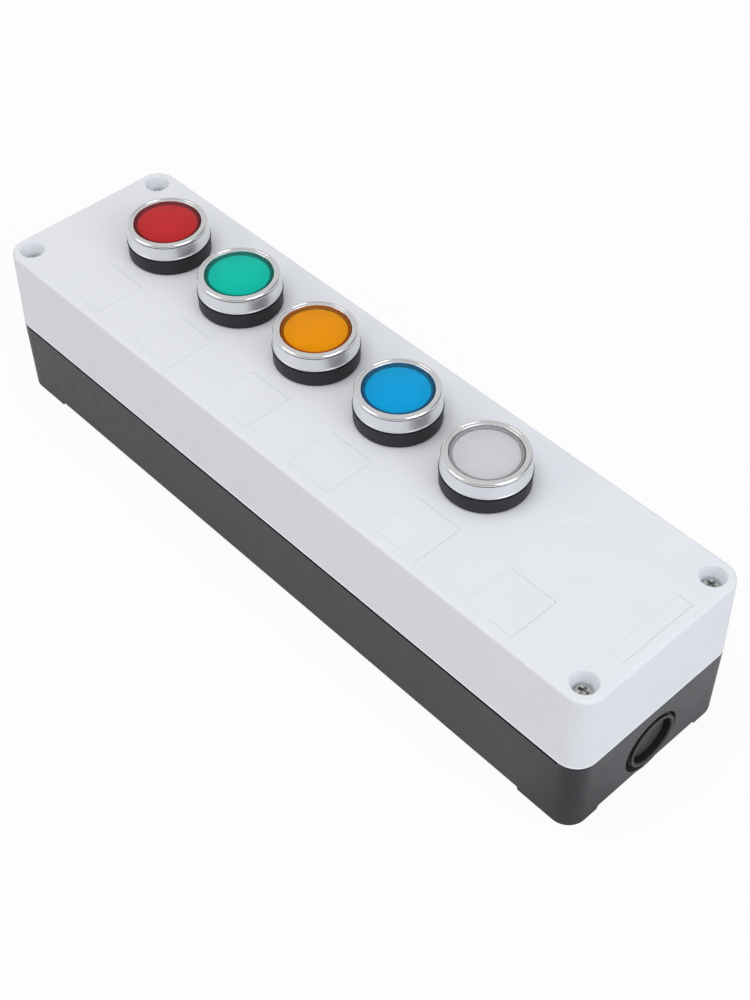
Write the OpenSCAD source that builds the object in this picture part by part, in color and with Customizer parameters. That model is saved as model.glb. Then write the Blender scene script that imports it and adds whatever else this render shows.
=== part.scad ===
// Push-button control station: a two-part moulded box with a row of illuminated
// push-buttons, one spare station behind a knock-out, and a plugged cable entry.
// Millimetres. X runs along the box towards the plugged entry, the labels lie on the -Y
// side of the buttons, +Z is the operating side, and the origin is the middle of the
// footprint at the soles of the feet.

/* [Enclosure] */
// Length over the lower edge of the cover
box_l = 278.7; // [270:0.1:300]
// Width over the lower edge of the cover
box_w = 72; // [70:0.1:90]
// Height from the soles of the feet to the face of the panel
box_h = 62.2; // [58:0.1:80]
// Height of the joint between the base and the cover
split_h = 30.8; // [29:0.1:33]
// Radius of the upright corners of the cover
corner_r = 8; // [7:0.1:10]
// Radius of the upright corners of the base
base_corner_r = 7.2; // [6.5:0.1:9]
// Lean of each side of the cover over its height
cover_draft = 0.7; // [0.2:0.1:1.2]
// Lean of each side of the base over its height
base_draft = 0.3; // [0.2:0.1:1]
// Step from the lower edge of the cover back to the base
base_inset = 0.25; // [0.1:0.05:0.5]
// Radius along the top edge of the cover
cover_edge_r = 1.2; // [0.5:0.1:2]
// Radius along the bottom edge of the base
base_edge_r = 0.3; // [0.2:0.1:1]
// Wall thickness of the cover
cover_wall = 2.6; // [2.4:0.1:3]
// Wall thickness of the base
base_wall = 2.6; // [2.4:0.1:3]
// Thickness of the panel that carries the buttons
panel_t = 3; // [2:0.1:4]
// Thickness of the floor
floor_t = 2.6; // [2:0.1:4]

/* [Feet and fixing holes] */
// Height of the feet below the floor
foot_h = 1.65; // [1:0.05:2.5]
// Length of each foot along the box
foot_l = 22; // [20:0.5:30]
// Width of each foot across the box
foot_w = 13.2; // [12:0.1:16]
// Distance of the fixing holes from the ends of the box
mount_inset_x = 17.85; // [17:0.05:20]
// Distance of the fixing holes from the sides of the box
mount_inset_y = 8; // [7:0.1:9]
// Diameter of the fixing holes
mount_hole_d = 4.5; // [3.5:0.1:5]

/* [Stations] */
// Room at each end of the box beyond the stations, which share the rest evenly
end_room = 22.35; // [18:0.05:26]
// Distance of the row of buttons from the middle of the box
row_y = 7.5; // [6:0.1:9]
// Length of a label recess along the box
label_l = 18.5; // [14:0.1:24]
// Width of a label recess across the box
label_w = 18.8; // [14:0.1:20]
// Distance from the row of buttons to the middle of the labels
label_drop = 29.55; // [28:0.05:30]
// Depth of the label recesses
label_depth = 0.25; // [0.1:0.05:0.5]
// Length of the title recess across the box
title_l = 30.2; // [20:0.1:40]
// Width of the title recess along the box
title_w = 5.6; // [4:0.1:8]
// Distance from the end of the cover to the middle of the title recess
title_inset = 7.55; // [6:0.05:9]

/* [Cable entry] */
// Height of the axis of the entries
entry_h = 13; // [12.9:0.1:14]
// Outer diameter of the boss round each entry
entry_boss_d = 25.8; // [25:0.1:25.8]
// Diameter of the seat for a gland's flange
entry_seat_d = 24; // [22.5:0.1:24.2]
// Depth of that seat
entry_seat_depth = 1.6; // [1:0.1:2]
// Diameter of the entry hole
entry_hole_d = 19; // [18:0.1:19.8]
// Length of the boss, from the outside of the wall
entry_boss_l = 7; // [5:0.1:10]
// Length of the trough that the boss continues as, under the floor
entry_trough_l = 14; // [12:0.5:20]

/* [Cover screws] */
// Distance of each screw from the two sides of its corner
screw_inset = 7.9; // [7.5:0.1:9]
// Diameter of the screw recess in the panel
recess_d = 8.4; // [8:0.1:9]
// Depth of the ledge round the screw head
ledge_depth = 3.8; // [3:0.1:5]
// Depth at which the screw head bears
recess_depth = 6; // [5.8:0.1:8]
// Diameter of the screw head
screw_head_d = 6.2; // [6:0.1:6.4]
// Height of the screw head
screw_head_h = 2; // [1.8:0.1:2.4]
// Diameter of the screw
screw_d = 3.9; // [3:0.1:3.9]
// Length of the screw below its head
screw_l = 35; // [30:1:40]

/* [Push-button head] */
// Travel of the button
travel = 4.3; // [2:0.1:5]
// Diameter of the neck
neck_d = 22; // [21.5:0.1:22.2]
// Diameter of the hole in the panel
panel_hole_d = 22.4; // [22.3:0.1:23]
// Diameter of the black body on the panel
body_d = 29.2; // [28.6:0.1:30]
// Height of the black body above the panel
body_h = 6.3; // [5:0.1:7]
// Diameter of the bezel at the lower edge of its skirt
skirt_d = 29.1; // [28.6:0.1:30]
// Diameter of the bezel's crown
crown_d = 28; // [27.5:0.1:28.5]
// Height of the crown above the panel
crown_h = 12.7; // [12:0.1:14]
// Diameter of the opening in the bezel
opening_d = 23.8; // [23.6:0.1:24]
// Diameter of the lens
lens_d = 23.2; // [22.6:0.1:23.2]
// Depth of the lens below the crown
lens_drop = 0.7; // [0.3:0.1:1]
// Thickness of the face of the lens
lens_t = 0.9; // [0.8:0.1:2]
// Wall thickness of the lens
lens_wall = 1.05; // [0.8:0.05:1.2]
// Outer diameter of the plunger tube
tube_d = 16.3; // [15:0.1:16.5]
// Inner diameter of the plunger tube
tube_bore_d = 14; // [12:0.1:14]

/* [Return spring] */
// Wire diameter
wire_d = 0.8; // [0.5:0.1:0.8]
// Number of turns
spring_turns = 6; // [4:1:8]

/* [Locking collar and blocks] */
// Height of the locking collar
lock_h = 10; // [8:0.5:12]
// Size of the collar's plate along the box
lock_l = 30; // [28:0.5:32]
// Size of the collar's plate across the box
lock_w = 38; // [36:0.5:40]
// Width of a contact or lamp block
block_w = 9.6; // [9.4:0.1:9.8]
// Distance between neighbouring blocks
block_pitch = 10; // [9.8:0.1:10.2]
// Height of a block
block_h = 17; // [14:0.5:18]

/* [Hidden] */
$fn = 64;
edge_steps = 6;
// Overrun of every cut
cut = 1;
// Sink of a rib or boss into the wall that carries it
root = 0.5;
// Clearance of a running fit, on the radius
fit_gap = 0.05;
// Clearance between moving pieces that only pass each other
free_gap = 0.4;
// Clearance between pieces that are pressed or clipped together
clip_gap = 0.1;

// Colours
cover_colour = [0.89, 0.89, 0.91];
base_colour = [0.30, 0.30, 0.31];
black_colour = [0.13, 0.13, 0.14];
silver_colour = [0.78, 0.79, 0.80];
steel_colour = [0.70, 0.70, 0.68];
brass_colour = [0.80, 0.64, 0.30];
rubber_colour = [0.10, 0.10, 0.10];
white_colour = [0.93, 0.93, 0.92];
block_colour = [0.24, 0.25, 0.27];

// Stations, from the far end: colour name, lens colour, and whether its contact opens
STATIONS = [
    ["red", [0.75, 0.10, 0.12], true],
    ["green", [0.06, 0.66, 0.52], false],
    ["orange", [0.93, 0.53, 0.06], false],
    ["blue", [0.07, 0.52, 0.85], false],
    ["white", [0.86, 0.87, 0.88], false]
];
spare_stations = 1;
station_count = len(STATIONS) + spare_stations;
pitch = (box_l - 2 * end_room) / station_count;
function station_x(i) = (i - (station_count - 1) / 2) * pitch;
rib_x = [for (i = [0:station_count - 2]) station_x(i) + pitch / 2];

// Enclosure
base_l = box_l - 2 * base_inset;
base_w = box_w - 2 * base_inset;
cavity_l = base_l - 2 * base_wall;
cavity_w = base_w - 2 * base_wall;
cavity_r = base_corner_r - base_wall;
floor_top = foot_h + floor_t;
lip_t = 1.2;
lip_h = 2.6;
seal_t = 1;
lip_l = cavity_l + 2 * lip_t;
lip_w = cavity_w + 2 * lip_t;
lip_r = cavity_r + lip_t;
cover_h = box_h - split_h;
inner_l = box_l - 2 * cover_wall;
inner_w = box_w - 2 * cover_wall;
inner_r = corner_r - cover_wall;
inner_edge_r = 0.8;
panel_under = box_h - panel_t;
rib_t = 1.6;
cover_rib_h = 4;
wall_rib_proud = 1.5;
wall_rib_drop = 4;
floor_rib_h = 2;
floor_rib_inset = 30;

// Screw positions, posts and tubes
screw_x = box_l / 2 - screw_inset;
screw_y = box_w / 2 - screw_inset;
post_r = 4.6;
tube_post_r = 4;
post_gap = 0.2;
recess_wall = 1.3;
recess_floor = 1.6;
recess_bevel = 0.3;
recess_taper = 0.4;
head_room = 0.2;
screw_hole_r = 2.2;
insert_r = 2.8;
insert_l = 8;
tip_room = 2;
cross_l = 4;
cross_w = 0.95;
cross_depth = 1.5;
screw_dome = 0.6;
mount_x = box_l / 2 - mount_inset_x;
mount_y = box_w / 2 - mount_inset_y;
mount_boss_r = 4.2;
mount_boss_h = 1.5;

// Knock-outs
knock_web = 0.8;
knock_groove = 1;
knock_line_w = 0.4;
knock_line_depth = 0.2;

// Cable entry plug, measured back from its face
plug_proud = 0.2;
plug_lip_gap = 1.75;
plug_lip_r = entry_seat_d / 2 - plug_lip_gap;
plug_lip_t = 0.5;
plug_waist = 0.1;
plug_body_r = entry_hole_d / 2 - fit_gap;
plug_bead = 0.6;
plug_bead_h = 1.2;
plug_wall = 0.9;
plug_well_r = plug_body_r - plug_wall;
plug_well_depth = 4.4;
plug_funnel = 0.9;
plug_flare = 0.2;
plug_floor_t = 1.2;
plug_edge = 0.3;
plug_pad_r = 6.3;
plug_pad_depth = 1.1;
trough_wall = 1.2;
entry_face_x = base_l / 2 - base_draft * (split_h - entry_h) / split_h;

// Head, measured from the face of the panel
neck_r = neck_d / 2;
body_r = body_d / 2;
seat_t = 1.6;
lock_gap = 0.6;
neck_end = 1;
neck_l = panel_t + lock_gap + lock_h + neck_end;
neck_wall = 1.1;
neck_bore_r = neck_r - neck_wall;
ledge_t = 1.2;
body_lip = 0.2;
body_lip_h = 0.5;
body_foot = 0.15;
body_wall = 1.5;
key_w = 3;
key_proud = 1;
gasket_t = 0.8;
gasket_in_inset = 0.9;
gasket_in_r = panel_hole_d / 2 + gasket_in_inset;
gasket_out_inset = 1;
gasket_out_r = body_r - gasket_out_inset;
bayonet_depth = 0.5;
bayonet_h = 2.2;
bayonet_rise = 1.4;
lug_angle = 30;
slot_angle = 36;

// Bezel
skirt_gap = 0.15;
skirt_base = body_h + skirt_gap;
skirt_round = 0.2;
crown_bead_r = 1.05;
crown_ridge = 0.12;
crown_crease = 0.18;
crown_steps = 10;
crown_arc = [-30, 120];
crease_angle = -40;
spigot_out_r = body_r - body_wall - clip_gap;
spigot_relief = 0.15;
spigot_in_r = opening_d / 2 + spigot_relief;
spigot_l = 4;

// Button
opening_r = opening_d / 2;
lens_r = lens_d / 2;
lens_top = crown_h - lens_drop;
lens_in_r = lens_r - lens_wall;
lens_edge_r = 0.35;
flange_t = 1.2;
button_low = seat_t + travel + free_gap;
flange_r = lens_in_r - clip_gap;
diffuser_t = 1.2;
diffuser_wall = 1;
tube_r = tube_d / 2;
tube_bore_r = tube_bore_d / 2;
snap_bead = 0.6;
snap_bead_h = 0.6;
snap_gap = 0.3;
snap_slot_w = 1.5;
snap_slot_l = 6;
tube_low = -neck_l - snap_gap - snap_bead_h;

// Return spring, from the ledge in the neck to the flange of the plunger
spring_low = -neck_l + ledge_t;
spring_high = button_low;
spring_offset = 0.05;
spring_r = (neck_bore_r + tube_r) / 2 + spring_offset;
spring_steps = 14;
spring_sides = 6;
end_coil_gap = 0.45;
end_pitch = wire_d + end_coil_gap;

// Locking collar
lock_top = -panel_t - lock_gap;
lock_low = lock_top - lock_h;
lock_plate_t = 3.2;
lock_corner_r = 2;
lock_ring_t = 3.2;
lock_bore_gap = 0.15;
lock_bore_r = neck_r + lock_bore_gap;
lock_screw_d = 3;
lock_boss_r = 3;
lock_boss_inset_x = 4.2;
lock_boss_inset_y = 4.4;
lock_screw_x = lock_l / 2 - lock_boss_inset_x;
lock_screw_y = lock_w / 2 - lock_boss_inset_y;
lock_head_r = 2.6;
lock_head_h = 2;

// Contact and lamp blocks
block_l = lock_w;
block_wall = 1;
block_top = tube_low - travel - free_gap;
block_low = block_top - block_h;
block_roof_t = 1.6;
block_roof = block_top - block_roof_t;
horn_gap = 0.6;
horn_y = neck_r + horn_gap;
chamber_y = 9;
hook_w = 6;
hook_t = 1.2;
hook_lip = 0.8;
hook_root = 4;
pin_r = 1;
pin_x = -(tube_r + tube_bore_r) / 2;
bridge_l = 15;
bridge_t = 0.8;
bridge_drop = 0.8;
rivet_l = 0.6;
strip_w = 4.4;
strip_t = 0.8;
strip_in_y = 4;
contact_gap = 0.3;
pocket_y = 11.5;
pocket_w = 6.8;
terminal_y = 15.3;
terminal_d = 3;
terminal_head_r = 2.7;
terminal_head_h = 1.6;
terminal_rise = 2.5;
terminal_slot_w = 0.8;
terminal_slot_depth = 0.7;
lamp_tower_r = 4.6;
lamp_r = 2.5;
lamp_l = 6;
lamp_drop = 4;

// Level of the moving bridge's top and of the fixed strips' top in a contact block
function bridge_top(opens) = opens
    ? block_roof - bridge_drop - strip_t - contact_gap : block_roof - bridge_drop;
function strip_top(opens) = opens
    ? block_roof - bridge_drop : bridge_top(false) - bridge_t - travel - contact_gap;

PIECES = [
    "lens", "diffuser", "plunger", "return_spring", "bezel", "head_body",
    "locking_collar", "lamp_block", "contact_block", "contact_actuator"
];

// Points along an arc
function arc_points(centre, r, from, to, steps = edge_steps) = [
    for (i = [0:steps])
        let (a = from + (to - from) * i / steps)
            centre + r * [cos(a), sin(a)]
];

// Half of a drafted block's section, from the bottom up the leaning side and over the edge
function draft_half(reach, h, lean, edge) = concat(
    [[reach, 0]],
    arc_points([reach - lean - edge, h - edge], edge, 0, 90)
);

// A list of points and its mirror image in the upright axis, joined into one outline
function both_sides(half) = concat(
    half, [for (i = [len(half) - 1:-1:0]) [-half[i][0], half[i][1]]]
);

// Block with round upright corners, leaning sides and a rounded top edge
module drafted_block(l, w, h, r, lean, edge) {
    for (quarter = [0:3]) {
        sx = quarter == 0 || quarter == 3 ? 1 : -1;
        sy = quarter < 2 ? 1 : -1;
        translate([sx * (l / 2 - r), sy * (w / 2 - r), 0])
            rotate([0, 0, 90 * quarter])
                rotate_extrude(angle = 90)
                    polygon(concat([[0, 0]], draft_half(r, h, lean, edge), [[0, h]]));
    }
    translate([-(l / 2 - r), 0, 0])
        rotate([90, 0, 90])
            linear_extrude(l - 2 * r)
                polygon(both_sides(draft_half(w / 2, h, lean, edge)));
    translate([0, w / 2 - r, 0])
        rotate([90, 0, 0])
            linear_extrude(w - 2 * r)
                polygon(both_sides(draft_half(l / 2, h, lean, edge)));
}

module rounded_rect(l, w, r) {
    square([l - 2 * r, w], center = true);
    square([l, w - 2 * r], center = true);
    for (x = [-1, 1], y = [-1, 1])
        translate([x * (l / 2 - r), y * (w / 2 - r)]) circle(r);
}

module rounded_prism(l, w, h, r) {
    linear_extrude(h) rounded_rect(l, w, r);
}

// Box centred on X and Y that stands on its lowest level
module block_at(size, centre, low) {
    translate([centre[0] - size[0] / 2, centre[1] - size[1] / 2, low]) cube(size);
}

module at_corners(x, y) {
    for (sx = [-1, 1], sy = [-1, 1]) translate([sx * x, sy * y, 0]) children();
}

module at_station(i) {
    translate([station_x(i), row_y, box_h]) children();
}

module at_every_station() {
    for (i = [0:len(STATIONS) - 1]) at_station(i) children();
}

// Ring between two radii and two levels
module ring(out_r, in_r, low, high) {
    translate([0, 0, low]) difference() {
        cylinder(r = out_r, h = high - low);
        translate([0, 0, -cut]) cylinder(r = in_r, h = high - low + 2 * cut);
    }
}

// Base: shell, feet, screw posts, fixing bosses, ribs and cable entries

// Clearance under the floor between two feet, with an S-shaped rise at each end
module foot_arch(half_span, depth) {
    r = foot_h / 2;
    half = concat(
        [[half_span + r, -cut]],
        arc_points([half_span + r, r], r, 270, 180),
        arc_points([half_span - r, foot_h - r], r, 0, 90)
    );
    translate([0, depth / 2, 0])
        rotate([90, 0, 0]) linear_extrude(depth) polygon(both_sides(half));
}

module base_shell() {
    difference() {
        translate([0, 0, split_h]) mirror([0, 0, 1])
            drafted_block(base_l, base_w, split_h, base_corner_r, base_draft, base_edge_r);
        translate([0, 0, floor_top])
            rounded_prism(cavity_l, cavity_w, split_h - floor_top + cut, cavity_r);
        foot_arch(box_l / 2 - foot_l, box_w);
        rotate([0, 0, 90]) foot_arch(box_w / 2 - foot_w, box_l);
    }
}

module base_lip() {
    translate([0, 0, split_h - root]) linear_extrude(lip_h + root) difference() {
        rounded_rect(lip_l, lip_w, lip_r);
        rounded_rect(cavity_l, cavity_w, cavity_r);
    }
}

// Post for a cover screw, tied to both walls of its corner
module screw_post() {
    web_l = screw_inset - base_inset - base_wall + root;
    h = split_h - floor_top + root;
    translate([0, 0, floor_top - root]) {
        cylinder(r = post_r, h = h);
        translate([0, -rib_t / 2, 0]) cube([web_l, rib_t, h]);
        translate([-rib_t / 2, 0, 0]) cube([rib_t, web_l, h]);
    }
}

module base_ribs() {
    for (x = rib_x, side = [-1, 1])
        block_at(
            [rib_t, wall_rib_proud + root, split_h - wall_rib_drop - floor_top + root],
            [x, side * (cavity_w / 2 - (wall_rib_proud - root) / 2)],
            floor_top - root
        );
    for (side = [-1, 1])
        block_at(
            [cavity_l - 2 * floor_rib_inset, rib_t, floor_rib_h + root],
            [0, side * cavity_w / 6],
            floor_top - root
        );
}

// Solid of revolution about the axis of the entry at one end, measured inwards
module along_entry(side, depth) {
    translate([side * (entry_face_x - depth), 0, entry_h])
        rotate([0, -90 * side, 0]) children();
}

// Boss round an entry, which runs on below the floor as a trough
module entry_boss(side) {
    along_entry(side, base_draft) cylinder(d = entry_boss_d, h = entry_boss_l - base_draft);
    intersection() {
        along_entry(side, base_draft)
            cylinder(d = entry_boss_d, h = entry_trough_l - base_draft);
        block_at([box_l, entry_boss_d, floor_top], [0, 0], 0);
    }
}

module base_box() color(base_colour) difference() {
    union() {
        base_shell();
        base_lip();
        for (sx = [-1, 1], sy = [-1, 1])
            translate([sx * screw_x, sy * screw_y, 0])
                mirror([sx < 0 ? 1 : 0, 0, 0]) mirror([0, sy < 0 ? 1 : 0, 0]) screw_post();
        at_corners(mount_x, mount_y)
            translate([0, 0, floor_top - root])
                cylinder(r = mount_boss_r, h = mount_boss_h + root);
        base_ribs();
        for (side = [-1, 1]) entry_boss(side);
    }
    at_corners(mount_x, mount_y)
        translate([0, 0, -cut])
            cylinder(d = mount_hole_d, h = floor_top + mount_boss_h + 2 * cut);
    at_corners(screw_x, screw_y) {
        translate([0, 0, split_h - insert_l]) cylinder(r = insert_r, h = insert_l + cut);
        translate([0, 0, box_h - recess_depth - screw_l - tip_room])
            cylinder(r = screw_hole_r, h = screw_l);
    }
    for (side = [-1, 1])
        along_entry(side, -cut) cylinder(d = entry_seat_d, h = entry_seat_depth + cut);
    along_entry(1, 0) cylinder(d = entry_hole_d, h = entry_boss_l + cut);
    along_entry(-1, entry_seat_depth + knock_web)
        cylinder(d = entry_hole_d, h = entry_boss_l);
    for (side = [-1, 1])
        along_entry(side, entry_boss_l)
            cylinder(r = entry_boss_d / 2 - trough_wall,
                h = entry_trough_l - entry_boss_l - trough_wall);
}

// Cover: shell with panel, screw tubes and ribs, pierced for the heads and labels

module screw_tube() {
    bear = box_h - recess_depth;
    translate([0, 0, split_h + post_gap])
        cylinder(r = tube_post_r, h = bear - split_h - post_gap);
    translate([0, 0, bear - recess_floor])
        cylinder(r = recess_d / 2 + recess_wall, h = recess_depth - panel_t + recess_floor + root);
}

module screw_recess() {
    translate([0, 0, box_h - recess_depth])
        cylinder(r = screw_head_d / 2 + head_room, h = recess_depth);
    translate([0, 0, box_h - ledge_depth])
        cylinder(r1 = recess_d / 2 - recess_taper, r2 = recess_d / 2, h = ledge_depth + cut);
    translate([0, 0, box_h - recess_bevel])
        cylinder(r1 = recess_d / 2, r2 = recess_d / 2 + recess_bevel, h = recess_bevel);
    translate([0, 0, split_h]) cylinder(r = screw_hole_r, h = cover_h);
}

// Hole for a head, with the notch that stops the head from turning
module panel_hole() {
    translate([0, 0, -panel_t - cut]) {
        cylinder(d = panel_hole_d, h = panel_t + 2 * cut);
        translate([-neck_r - key_proud - clip_gap, -key_w / 2 - clip_gap, 0])
            cube([neck_r, key_w + 2 * clip_gap, panel_t + 2 * cut]);
    }
}

// Weakened ring under the panel and the fine line that marks it on the face
module panel_knock_out() {
    hole_r = panel_hole_d / 2;
    ring(hole_r, hole_r - knock_groove, -panel_t - cut, -knock_web);
    ring(hole_r, hole_r - knock_line_w, -knock_line_depth, cut);
}

module label_recesses() {
    for (i = [0:station_count - 1])
        translate([station_x(i), row_y - label_drop, box_h - label_depth])
            linear_extrude(label_depth + cut) square([label_l, label_w], center = true);
    translate([box_l / 2 - title_inset, 0, box_h - label_depth])
        linear_extrude(label_depth + cut) square([title_w, title_l], center = true);
}

module cover() color(cover_colour) difference() {
    union() {
        difference() {
            translate([0, 0, split_h])
                drafted_block(box_l, box_w, cover_h, corner_r, cover_draft, cover_edge_r);
            translate([0, 0, split_h - cut])
                rounded_prism(
                    lip_l + 2 * clip_gap, lip_w + 2 * clip_gap,
                    lip_h + seal_t + cut, lip_r + clip_gap
                );
            translate([0, 0, split_h])
                drafted_block(
                    inner_l, inner_w, cover_h - panel_t, inner_r, cover_draft, inner_edge_r
                );
        }
        at_corners(screw_x, screw_y) screw_tube();
        for (x = rib_x)
            block_at([rib_t, inner_w - 2 * cover_draft, cover_rib_h + root],
                [x, 0], panel_under - cover_rib_h);
    }
    at_corners(screw_x, screw_y) screw_recess();
    at_every_station() panel_hole();
    for (i = [len(STATIONS):station_count - 1]) at_station(i) panel_knock_out();
    label_recesses();
}

module cover_seal() color(rubber_colour) {
    translate([0, 0, split_h + lip_h]) linear_extrude(seal_t) difference() {
        rounded_rect(lip_l, lip_w, lip_r);
        rounded_rect(cavity_l, cavity_w, cavity_r);
    }
}

// Pan-head screw with a cross recess
module cover_screw() {
    head_r = screw_head_d / 2;
    difference() {
        union() {
            rotate_extrude()
                polygon(concat(
                    [[0, 0], [head_r, 0]],
                    arc_points([head_r - screw_dome, screw_head_h - screw_dome],
                        screw_dome, 0, 90),
                    [[0, screw_head_h]]
                ));
            translate([0, 0, -screw_l]) cylinder(d = screw_d, h = screw_l + root);
        }
        for (a = [0, 90])
            rotate([0, 0, a])
                block_at([cross_l, cross_w, cross_depth + cut],
                    [0, 0], screw_head_h - cross_depth);
    }
}

module cover_screws() color(steel_colour) {
    at_corners(screw_x, screw_y) translate([0, 0, box_h - recess_depth]) cover_screw();
}

module screw_inserts() color(brass_colour) {
    at_corners(screw_x, screw_y)
        ring(insert_r, screw_d / 2 + fit_gap, split_h - insert_l, split_h);
}

// Moulded plug: two lips in the seat, body through the hole, bead behind the boss, and a
// raised pad inside a deep groove
module cable_entry_plug() color(rubber_colour) {
    body_end = plug_proud + entry_boss_l;
    rear = body_end + plug_bead_h;
    seat = plug_proud + entry_seat_depth;
    waist_r = plug_body_r - plug_waist;
    along_entry(1, -plug_proud) rotate_extrude() polygon([
        [0, plug_pad_depth],
        [plug_pad_r - plug_edge, plug_pad_depth],
        [plug_pad_r, plug_pad_depth + plug_edge],
        [plug_pad_r, plug_well_depth],
        [plug_well_r, plug_well_depth],
        [plug_well_r, plug_funnel],
        [plug_well_r + plug_flare, 0],
        [plug_lip_r - plug_edge, 0],
        [plug_lip_r, plug_edge],
        [plug_lip_r, plug_lip_t],
        [waist_r, plug_lip_t],
        [waist_r, seat - plug_lip_t],
        [plug_lip_r, seat - plug_lip_t],
        [plug_lip_r, seat],
        [plug_body_r, seat],
        [plug_body_r, body_end],
        [plug_body_r + plug_bead, body_end],
        [plug_body_r, rear],
        [plug_well_r, rear],
        [plug_well_r, plug_well_depth + plug_floor_t],
        [plug_pad_r - plug_floor_t, plug_well_depth + plug_floor_t],
        [plug_pad_r - plug_floor_t, plug_pad_depth + plug_floor_t],
        [0, plug_pad_depth + plug_floor_t]
    ]);
}

// Push-button head, round its own axis with the face of the panel at zero

module head_gaskets() color(rubber_colour) {
    at_every_station() ring(gasket_out_r, gasket_in_r, 0, gasket_t);
}

module head_body() color(black_colour) {
    in_r = body_r - body_wall;
    difference() {
        union() {
            rotate_extrude() polygon([
                [neck_bore_r, seat_t],
                [neck_bore_r, -neck_l + ledge_t],
                [tube_r + fit_gap, -neck_l + ledge_t],
                [tube_r + fit_gap, -neck_l],
                [neck_r, -neck_l],
                [neck_r, 0],
                [body_r - body_foot, 0],
                [body_r, body_foot],
                [body_r, body_h - body_lip_h - body_lip],
                [body_r + body_lip, body_h - body_lip_h],
                [body_r + body_lip, body_h - body_lip],
                [body_r, body_h],
                [in_r, body_h],
                [in_r, seat_t]
            ]);
            difference() {
                translate([-neck_r - key_proud, -key_w / 2, -panel_t])
                    cube([neck_r, key_w, panel_t + root]);
                translate([0, 0, -panel_t - cut])
                    cylinder(r = neck_bore_r + neck_wall / 2, h = panel_t + root + 2 * cut);
            }
        }
        ring(gasket_out_r, gasket_in_r, -cut, gasket_t);
        bayonet_cut();
    }
}

// Groove round the neck for the collar's lugs, and two slightly deeper slots that lead to it
module bayonet_cut() {
    groove_low = lock_low + bayonet_rise;
    slot_depth = bayonet_depth + clip_gap;
    ring(neck_r + cut, neck_r - bayonet_depth, groove_low, groove_low + bayonet_h);
    for (a = [0, 180])
        rotate([0, 0, a - slot_angle / 2])
            rotate_extrude(angle = slot_angle)
                translate([neck_r - slot_depth, -neck_l - cut])
                    square([slot_depth + cut, groove_low + neck_l + 2 * cut]);
}

// Plated bezel: crown bead, leaning skirt and the spigot that clips into the body
module bezel() color(silver_colour) {
    crown_centre = [crown_d / 2 - crown_bead_r, crown_h - crown_bead_r];
    crease = [crown_d / 2 - crown_crease, crown_centre[1] + crown_bead_r * sin(crease_angle)];
    rotate_extrude() polygon(concat(
        [
            [spigot_in_r, skirt_base - spigot_l],
            [spigot_out_r, skirt_base - spigot_l],
            [spigot_out_r, skirt_base],
            [skirt_d / 2 - skirt_round, skirt_base],
            [skirt_d / 2, skirt_base + skirt_round],
            [crown_d / 2, crease[1] - crown_crease],
            crease
        ],
        arc_points(crown_centre, crown_bead_r, crown_arc[0], crown_arc[1], crown_steps),
        [
            [opening_r + crown_ridge, crown_h - lens_drop + crown_ridge],
            [opening_r, crown_h - lens_drop],
            [opening_r, skirt_base + skirt_round],
            [spigot_in_r, skirt_base]
        ]
    ));
}

// Clear cap: face, rounded edge and the wall that clips over the plunger's flange
module lens(tint) color(tint) {
    rotate_extrude() polygon(concat(
        [
            [0, lens_top - lens_t],
            [lens_in_r, lens_top - lens_t],
            [lens_in_r, button_low],
            [lens_r, button_low]
        ],
        arc_points([lens_r - lens_edge_r, lens_top - lens_edge_r], lens_edge_r, 0, 90),
        [[0, lens_top]]
    ));
}

module diffuser() color(white_colour) {
    out_r = lens_in_r - clip_gap;
    top = lens_top - lens_t - fit_gap;
    low = button_low + flange_t;
    rotate_extrude() polygon([
        [0, top - diffuser_t],
        [out_r - diffuser_wall, top - diffuser_t],
        [out_r - diffuser_wall, low],
        [out_r, low],
        [out_r, top],
        [0, top]
    ]);
}

// Plunger: flange under the lens, tube down the neck, snap fingers below the ledge
module plunger() color(black_colour) difference() {
    rotate_extrude() polygon([
        [tube_bore_r, tube_low],
        [tube_r, tube_low],
        [tube_r + snap_bead, tube_low + snap_bead_h / 2],
        [tube_r + snap_bead, tube_low + snap_bead_h],
        [tube_r, tube_low + snap_bead_h],
        [tube_r, button_low],
        [flange_r, button_low],
        [flange_r, button_low + flange_t],
        [tube_bore_r, button_low + flange_t]
    ]);
    for (a = [45, 135])
        rotate([0, 0, a])
            block_at([2 * (tube_r + snap_bead + cut), snap_slot_w, snap_slot_l + cut],
                [0, 0], tube_low - cut);
}

// Helical return spring with closer end turns
function spring_rise(t) = t < 1 ? t * end_pitch
    : t > spring_turns - 1 ? spring_span - (spring_turns - t) * end_pitch
    : end_pitch + (t - 1) * (spring_span - 2 * end_pitch) / (spring_turns - 2);
spring_span = spring_high - spring_low - wire_d;
spring_rings = spring_turns * spring_steps;

function spring_point(k, s) =
    let (a = 360 * k / spring_steps, b = 360 * s / spring_sides,
        r = spring_r + wire_d / 2 * cos(b))
    [r * cos(a), r * sin(a),
        spring_low + wire_d / 2 + spring_rise(k / spring_steps) + wire_d / 2 * sin(b)];

module return_spring() color(steel_colour) {
    points = [for (k = [0:spring_rings], s = [0:spring_sides - 1]) spring_point(k, s)];
    sides = [
        for (k = [0:spring_rings - 1], s = [0:spring_sides - 1])
            let (n = (s + 1) % spring_sides, a = k * spring_sides, b = a + spring_sides)
            each [[a + s, b + s, a + n], [a + n, b + s, b + n]]
    ];
    near_end = [[for (s = [0:spring_sides - 1]) s]];
    far_end = [[for (s = [spring_sides - 1:-1:0]) spring_rings * spring_sides + s]];
    polyhedron(points = points, faces = concat(sides, near_end, far_end));
}

// Collar that locks the head from behind and carries the blocks

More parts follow.
